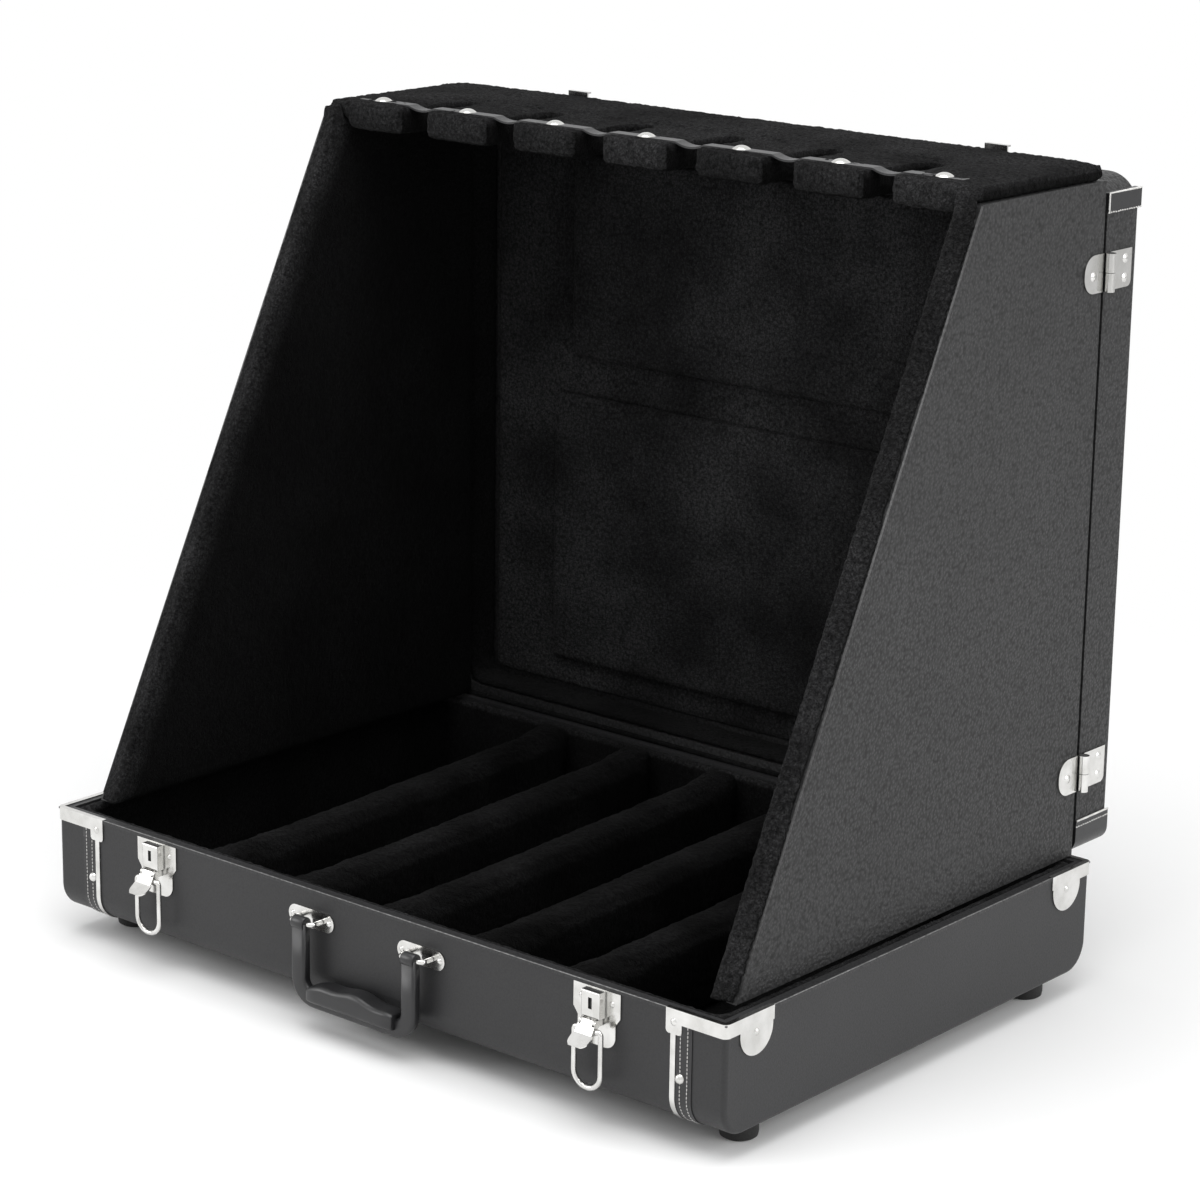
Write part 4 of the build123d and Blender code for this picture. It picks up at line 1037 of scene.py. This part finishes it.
@dataclass
class SidePanels(Lined):
    """The two slanted side panels with plush rolled over their front edges.

    Attributes:
        foot_back: how far behind the tray's front a panel's slanted edge starts, in millimetres.
        top_back: how far behind the tray's front it ends, in millimetres.
        cap_from: how far below the panel's top the plush starts to rise, in millimetres.
        cap_clear: how far in front of the neck rest it stays, in millimetres.
        cap_below: how far below the neck rest's top it ends, in millimetres.
        edge_roll: how far in from the edge the pile's painted light is full, in millimetres.
        edge_fade: how much further in it fades to the painted shade, in millimetres.
        inner_painted_shade: how light the pile is painted inside, a painted shade.
        edge_painted_lift: how much lighter the painted light makes it on the edge.
        hem_in: how far the hem's middle is inside the panel's face in millimetres.
        hem_back: how far it is behind the slanted edge in millimetres.
        hem_short: how far below the panel's top it ends, in millimetres.
        hem_from: how far above its foot the hem starts, in millimetres.
        hem_radius: the radius of the hem in millimetres.
    """

    foot_back: float = 32.5
    top_back: float = 308.6
    cap_from: float = 9.0
    cap_clear: float = 0.3
    cap_below: float = 1.0
    edge_roll: float = 2.0
    edge_fade: float = 16.0
    inner_painted_shade: float = 0.5
    edge_painted_lift: float = 2.0
    hem_in: float = 0.5
    hem_back: float = 0.2
    hem_short: float = 1.0
    hem_from: float = 6.0
    hem_radius: float = 0.9

    def build(self) -> None:
        """Makes both panels' linings and finishes their nodes."""
        for side in Side:
            word = side.word
            cover = self.maker.cover([f"{word}_panel_lining"], f"{word}_panel_plush")
            self.maker.move_points(cover, self._raise_cap)
            self.maker.finish(cover, [f"{word}_panel_lining"], f"{word}_side_panel", 0.5, self._edge_light)
            self._hem(side)
            self.dresser.finish_nodes("panel_vinyl", [f"{word}_panel"])
            self.dresser.finish_nodes("nickel", [f"{word}_panel_hinge_leaves", f"{word}_panel_rivets"])

    def _slant(self, z: float) -> float:
        """How far forward the slanted edge stands at a height, in metres."""
        low, high = node_box("left_panel")
        front = node_box("tray_shell")[0][1]
        share = (z - low[2]) / (high[2] - low[2])
        return front + (self.foot_back + share * (self.top_back - self.foot_back)) * MM

    def _raise_cap(self, place: Vector) -> Vector:
        """Carries the plush up in front of the neck rest's end, so that the two meet flush."""
        rest, top = node_box("neck_rest_pad"), node_box("left_panel")[1][2]
        if place.y > rest[0][1] - self.cap_clear * MM or place.z < top - self.cap_from * MM:
            return Vector((0.0, 0.0, 0.0))
        share = min(1.0, (place.z - top + self.cap_from * MM) / (self.cap_from * MM))
        return Vector((0.0, 0.0, share * (rest[1][2] - top - self.cap_below * MM)))

    def _edge_light(self, place: Vector) -> float:
        """Paints the pile lighter where it rolls over the slanted edge, a painted light, and darker further in, a
        painted shade.
        """
        inside = (place.y - self._slant(place.z)) / MM
        near_edge = min(1.0, max(0.0, 1.0 - (inside - self.edge_roll) / self.edge_fade))
        return self.inner_painted_shade + self.edge_painted_lift * near_edge

    def _hem(self, side: Side) -> None:
        """Runs the turned-in hem of the vinyl down the slanted edge, painted lighter than the panel as a painted
        highlight on the edge.
        """
        low, high = node_box(f"{side.word}_panel")
        x = side.value * (max(abs(low[0]), abs(high[0])) - self.hem_in * MM)
        foot, top = low[2] + self.hem_from * MM, high[2] - self.hem_short * MM
        run = [Vector((x, self._slant(z) + self.hem_back * MM, z)) for z in (foot, top)]
        hem = tube(f"{side.word}_panel_hem", [run], self.hem_radius)
        self.dresser.keep(hem, "hem_vinyl_painted_highlight", f"{side.word}_side_panel", "vinyl")


@dataclass
class NeckRest(Lined):
    """The notched rest on top, with its strap and snaps.

    Attributes:
        tooth_face: how far back the painted light on a tooth's front reaches, in millimetres.
        board_gap: how far the plush stays clear of the board inside, in millimetres.
        sunk: how far below the board's top the plush can have sunk, in millimetres.
        lit_top: how far the painted light on the rest's top reaches down, in millimetres.
    """

    tooth_face: float = 6.0
    board_gap: float = 1.3
    sunk: float = 3.5
    lit_top: float = 5.0

    def build(self) -> None:
        """Makes the padded rest and finishes the strap and snaps."""
        nodes = ["neck_rest_pad", "neck_rest_teeth"]
        cover = self.maker.cover(nodes, "neck_rest_plush", overlap=3.0)
        self.maker.stuff(cover, Filling(shrink=0.0, cap=2.5))
        self.maker.move_points(cover, self._clear_board)
        self.maker.finish(cover, nodes, "neck_rest", 0.8, self._tooth_light)
        self.dresser.finish_nodes("core_board", ["neck_rest_board"])
        self.dresser.finish_nodes("strap_gloss", ["neck_strap"])
        self.dresser.finish_nodes("nickel", ["strap_snaps"])

    def _clear_board(self, place: Vector) -> Vector:
        """Lifts the top of the plush off the stiff board where the padding has sunk onto it."""
        low, high = node_box("neck_rest_board")
        aside = max(low[0] - place.x, place.x - high[0], low[1] - place.y, place.y - high[1])
        if aside > self.board_gap * MM or place.z < high[2] - self.sunk * MM:
            return Vector((0.0, 0.0, 0.0))
        return Vector((0.0, 0.0, max(0.0, high[2] + self.board_gap * MM - place.z)))

    def _tooth_light(self, place: Vector) -> float:
        """Paints the fronts of the teeth and the rest's top lighter, as painted light, and the walls of the notches
        darker, as painted shade.
        """
        low, high = node_box("neck_rest_pad")
        if place.y < low[1] + self.tooth_face * MM:
            return 2.6
        return 2.0 if place.z > high[2] - self.lit_top * MM else 0.5


def rounded_loop(
    bm: bmesh.types.BMesh, place: Matrix, wide: float, deep: float, radius: float
) -> list[bmesh.types.BMEdge]:
    """Draws a rectangle with round corners as a loop of edges.

    Args:
        bm: the mesh that it goes into.
        place: where it goes, with its width along the place's X and its depth along its Y.
        wide: its width in millimetres.
        deep: its depth in millimetres.
        radius: the radius of its corners in millimetres.

    Returns:
        The loop's edges.
    """
    size = Matrix.Diagonal((wide * MM, deep * MM, 1.0, 1.0))
    made = bmesh.ops.create_grid(bm, x_segments=1, y_segments=1, size=0.5, matrix=place @ size)
    rounded = bmesh.ops.bevel(
        bm,
        geom=made["verts"],
        offset=radius * MM,
        segments=4,
        profile=0.5,
        affect="VERTICES",
        material=-1,
    )
    face = max(rounded["faces"] or bm.faces, key=lambda item: len(item.verts))
    face = max((item for vert in face.verts for item in vert.link_faces), key=lambda item: len(item.verts))
    loop = list(face.edges)
    bmesh.ops.delete(bm, geom=[face], context="FACES_ONLY")
    return loop


def draw_on(bm: bmesh.types.BMesh, loop: list[bmesh.types.BMEdge], way: Vector) -> list[bmesh.types.BMEdge]:
    """Extrudes a loop of edges by a step and returns the new loop."""
    made = bmesh.ops.extrude_edge_only(bm, edges=loop)["geom"]
    verts = [item for item in made if isinstance(item, bmesh.types.BMVert)]
    bmesh.ops.translate(bm, verts=verts, vec=way)
    fresh = set(verts)
    return [
        item for item in made if isinstance(item, bmesh.types.BMEdge) and all(vert in fresh for vert in item.verts)
    ]


@dataclass
class CarryHandle:
    """The carrying handle: a flat bow, its two eyes and a shaped grip round its foot.

    Attributes:
        dresser: gives the finish.
        half_wide: half the bow's width in millimetres.
        foot: the height of the bow's foot above the floor in millimetres.
        leg: the width of a leg in millimetres.
        thick: the thickness of the bow in millimetres.
        leg_round: the radius of a leg's edges in millimetres.
        turn: the outer radius of the bow's corners in millimetres.
        eye: the radius of the eyes in millimetres.
        eye_round: the radius of the eyes' rims in millimetres.
        grip_half: half the grip's length in millimetres.
        grip_deep: the grip's depth in millimetres.
        grip_round: the radius of the grip's long edges in millimetres.
        grip_end: how deep the grip is at its ends, as a share.
        grip_foot: how far above the bow's foot the grip starts, in millimetres.
        grip_tops: the grip's height at stations from its left to its right end.
    """

    dresser: Dresser
    half_wide: float = 67.5
    foot: float = 20.5
    leg: float = 15.0
    thick: float = 8.4
    leg_round: float = 2.6
    turn: float = 23.0
    eye: float = 5.6
    eye_round: float = 0.8
    grip_half: float = 47.0
    grip_deep: float = 20.0
    grip_round: float = 5.0
    grip_end: float = 0.86
    grip_foot: float = 6.0
    grip_tops: tuple[float, ...] = (12.0, 15.0, 17.0, 17.2, 16.8, 17.6, 19.2, 20.0, 19.2, 17.0, 15.2, 14.8, 15.2, 13.6)

    def build(self) -> None:
        """Makes the bow with its eyes, and the grip."""
        low, high = node_box("handle_bow")
        self.depth = (low[1] + high[1]) / 2
        self.top = high[2] - self.eye * MM
        self._bow()
        self._grip()

    def _bow(self) -> None:
        """Draws the bow down one leg, across its foot and up the other leg."""
        bm = bmesh.new()
        leg_x = (self.half_wide - self.leg / 2) * MM
        turn_x, turn_z = (self.half_wide - self.turn) * MM, (self.foot + self.turn) * MM
        start = Matrix.Translation((-leg_x, self.depth, self.top))
        first = rounded_loop(bm, start, self.leg, self.thick, self.leg_round)
        loop = first
        loop = draw_on(bm, loop, Vector((0.0, 0.0, turn_z - self.top)))
        for centre_x, run in ((-turn_x, 2.0 * turn_x), (turn_x, 0.0)):
            verts = list({vert for edge in loop for vert in edge.verts})
            made = bmesh.ops.spin(
                bm,
                geom=verts + loop,
                cent=(centre_x, self.depth, turn_z),
                axis=(0.0, -1.0, 0.0),
                angle=math.radians(90.0),
                steps=10,
                use_merge=False,
            )["geom_last"]
            loop = [item for item in made if isinstance(item, bmesh.types.BMEdge)]
            if run:
                loop = draw_on(bm, loop, Vector((run, 0.0, 0.0)))
        loop = draw_on(bm, loop, Vector((0.0, 0.0, self.top - turn_z)))
        for end in (first, loop):
            bmesh.ops.edgeloop_fill(bm, edges=end)
        for side in Side:
            eye = Matrix.Translation((side.value * leg_x, self.depth, self.top)) @ Matrix.Rotation(
                math.radians(90.0), 4, "Y"
            )
            made = bmesh.ops.create_cone(
                bm,
                cap_ends=True,
                segments=32,
                radius1=self.eye * MM,
                radius2=self.eye * MM,
                depth=(self.leg - 2.0) * MM,
                matrix=eye,
            )
            rims = {edge for vert in made["verts"] for edge in vert.link_edges if edge.calc_face_angle(0.0) > 1.0}
            round_edges(bm, rims, self.eye_round)
        bow = shape_piece("carry_bow", bm)
        self.dresser.keep(bow, "bow_plastic", "handle", "handle_plastic")
        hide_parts("handle_bow")

    def _grip(self) -> None:
        """Draws the grip along the bow's foot, with the swells that fingers sit in."""
        bm = bmesh.new()
        step = 2.0 * self.grip_half / (len(self.grip_tops) - 1)
        foot_z = (self.foot + self.grip_foot) * MM
        start = Matrix.Translation((-self.grip_half * MM, self.depth, foot_z)) @ Matrix.Rotation(
            math.radians(-90.0), 4, "Y"
        )
        base = max(self.grip_tops)
        place = start @ Matrix.Translation((base / 2 * MM, 0.0, 0.0))
        loop = rounded_loop(bm, place, base, self.grip_deep, self.grip_round)
        loops = [loop]
        for _ in self.grip_tops[1:]:
            loop = draw_on(bm, loop, Vector((step * MM, 0.0, 0.0)))
            loops.append(loop)
        for number, (ring, top) in enumerate(zip(loops, self.grip_tops)):
            narrow = self.grip_end if number in (0, len(loops) - 1) else 1.0
            for vert in {vert for edge in ring for vert in edge.verts}:
                vert.co.z = foot_z + (vert.co.z - foot_z) * top / base
                vert.co.y = self.depth + (vert.co.y - self.depth) * narrow
        for end in (loops[0], loops[-1]):
            bmesh.ops.edgeloop_fill(bm, edges=end)
        ends = [face for face in bm.faces if len(face.verts) > 4]
        bmesh.ops.inset_region(bm, faces=ends, thickness=1.2 * MM, depth=-0.4 * MM)
        grip = shape_piece("carry_grip", bm)
        smooth = grip.modifiers.new("smooth", "SUBSURF")
        smooth.levels = smooth.render_levels = 2
        bake_modifiers(grip)
        self.dresser.keep(grip, "bow_plastic", "handle", "handle_plastic")
        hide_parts("handle_grip")


@dataclass
class Studio:
    """The pale studio: floor, lamps, sky and the photograph's camera.

    Attributes:
        lens: the focal length in millimetres on a 36 mm wide frame.
        place: where the camera stands, in metres.
        turn: how far it is turned to the left of straight ahead, in radians.
        dip: how far it looks down, in radians.
        roll: how far it is rolled, in radians.
        near: the distance up to which the floor shows the shadow in full, in metres.
        far: the distance from which the floor is plain white, in metres.
        near_glow: how white the floor is made close to the object, from 0 to 1.
    """

    lens: float = 107.22
    place: tuple[float, float, float] = (1.84429, -2.15663, 1.10185)
    turn: float = 0.701
    dip: float = 0.271
    roll: float = 0.015
    near: float = 0.5
    far: float = 1.3
    near_glow: float = 0.0

    def build(self) -> None:
        """Sets up everything round the object."""
        self._camera()
        self._floor()
        self._sky()
        self._lamp("top_box", (0.2, -0.5, 2.6), (0.0, 0.0, 0.3), 2.4, 46.0)
        self._lamp("left_box", (-2.4, -2.2, 1.5), (0.0, 0.0, 0.3), 1.8, 34.0)
        self._lamp("right_box", (2.8, 0.6, 1.4), (0.2, 0.0, 0.3), 1.8, 34.0)
        scene = bpy.context.scene
        scene.view_settings.view_transform = "Standard"

    def _camera(self) -> None:
        """Places the camera as the photograph's perspective gives it."""
        data = bpy.data.cameras.new("photo_camera")
        data.lens = self.lens
        data.sensor_width = 36.0
        data.clip_end = 60.0
        camera = bpy.data.objects.new("photo_camera", data)
        ahead = Vector(
            (
                -math.sin(self.turn) * math.cos(self.dip),
                math.cos(self.turn) * math.cos(self.dip),
                -math.sin(self.dip),
            )
        )
        right = Vector((math.cos(self.turn), math.sin(self.turn), 0.0))
        up = right.cross(ahead)
        across = right * math.cos(self.roll) + up * math.sin(self.roll)
        upward = up * math.cos(self.roll) - right * math.sin(self.roll)
        turn = Matrix((across, upward, -ahead)).transposed().to_4x4()
        camera.matrix_world = Matrix.Translation(self.place) @ turn
        bpy.context.scene.collection.objects.link(camera)
        bpy.context.scene.camera = camera

    def _floor(self) -> None:
        """Lays the white floor, a little brighter to the camera than it is lit."""
        bm = bmesh.new()
        bmesh.ops.create_grid(bm, x_segments=1, y_segments=1, size=30.0)
        floor = shape_piece("studio_floor", bm)
        material = bpy.data.materials.new("studio_floor")
        material.use_nodes = True
        bench = NodeBench(material.node_tree)
        lit = bench.add("ShaderNodeBsdfDiffuse", Color=(0.92, 0.92, 0.92, 1.0))
        glow = bench.add("ShaderNodeEmission", Color=(1.0, 1.0, 1.0, 1.0), Strength=1.0)
        path = bench.add("ShaderNodeLightPath")
        place = bench.add("ShaderNodeTexCoord").outputs["Object"]
        reach = bench.add("ShaderNodeVectorMath", operation="LENGTH")
        bench.feed(reach.inputs[0], place)
        far = bench.spread(reach.outputs["Value"], self.near, self.far, self.near_glow, 1.0)
        seen = bench.math("MULTIPLY", path.outputs["Is Camera Ray"], far)
        mixed = bench.add("ShaderNodeMixShader", Fac=seen)
        bench.feed(mixed.inputs[1], lit.outputs["BSDF"])
        bench.feed(mixed.inputs[2], glow.outputs["Emission"])
        out = bench.add("ShaderNodeOutputMaterial")
        bench.feed(out.inputs["Surface"], mixed.outputs["Shader"])
        floor.data.materials.append(material)

    def _sky(self) -> None:
        """Makes the surroundings white to the eye and to gloss, and softer as a light."""
        world = bpy.data.worlds.new("studio")
        bpy.context.scene.world = world
        world.use_nodes = True
        bench = NodeBench(world.node_tree)
        path = bench.add("ShaderNodeLightPath")
        seen = bench.math("MAXIMUM", path.outputs["Is Camera Ray"], path.outputs["Is Glossy Ray"])
        seen = bench.math("MAXIMUM", seen, path.outputs["Is Transmission Ray"])
        level = bench.spread(seen, 0.0, 1.0, 0.62, 1.0)
        sky = bench.add("ShaderNodeBackground", Color=(1.0, 1.0, 1.0, 1.0), Strength=level)
        out = bench.add("ShaderNodeOutputWorld")
        bench.feed(out.inputs["Surface"], sky.outputs["Background"])

    @staticmethod
    def _lamp(name: str, place: Sequence[float], target: Sequence[float], size: float, watts: float) -> None:
        """Hangs one square soft box.

        Args:
            name: the lamp's name.
            place: where it hangs, in metres.
            target: the point that it faces.
            size: the side of its face, in metres.
            watts: its power.
        """
        data = bpy.data.lights.new(name, "AREA")
        data.size = size
        data.energy = watts
        lamp = bpy.data.objects.new(name, data)
        lamp.location = place
        lamp.rotation_euler = (Vector(place) - Vector(target)).to_track_quat("Z", "Y").to_euler()
        bpy.context.scene.collection.objects.link(lamp)


def main() -> None:
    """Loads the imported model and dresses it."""
    logging.basicConfig(level=logging.INFO, format="%(message)s")
    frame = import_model()
    dresser = Dresser(frame["nodes"])
    Tray(PlushMaker(dresser, cell=4.0), dresser).build()
    CarryHandle(dresser).build()
    BackShell(PlushMaker(dresser, cell=4.0), dresser).build()
    SidePanels(PlushMaker(dresser, cell=2.9, rounding=4), dresser).build()
    NeckRest(PlushMaker(dresser, cell=3.6, rounding=3, pile=1.0, proud=0.45), dresser).build()
    Studio().build()


if __name__ == "__main__":
    main()
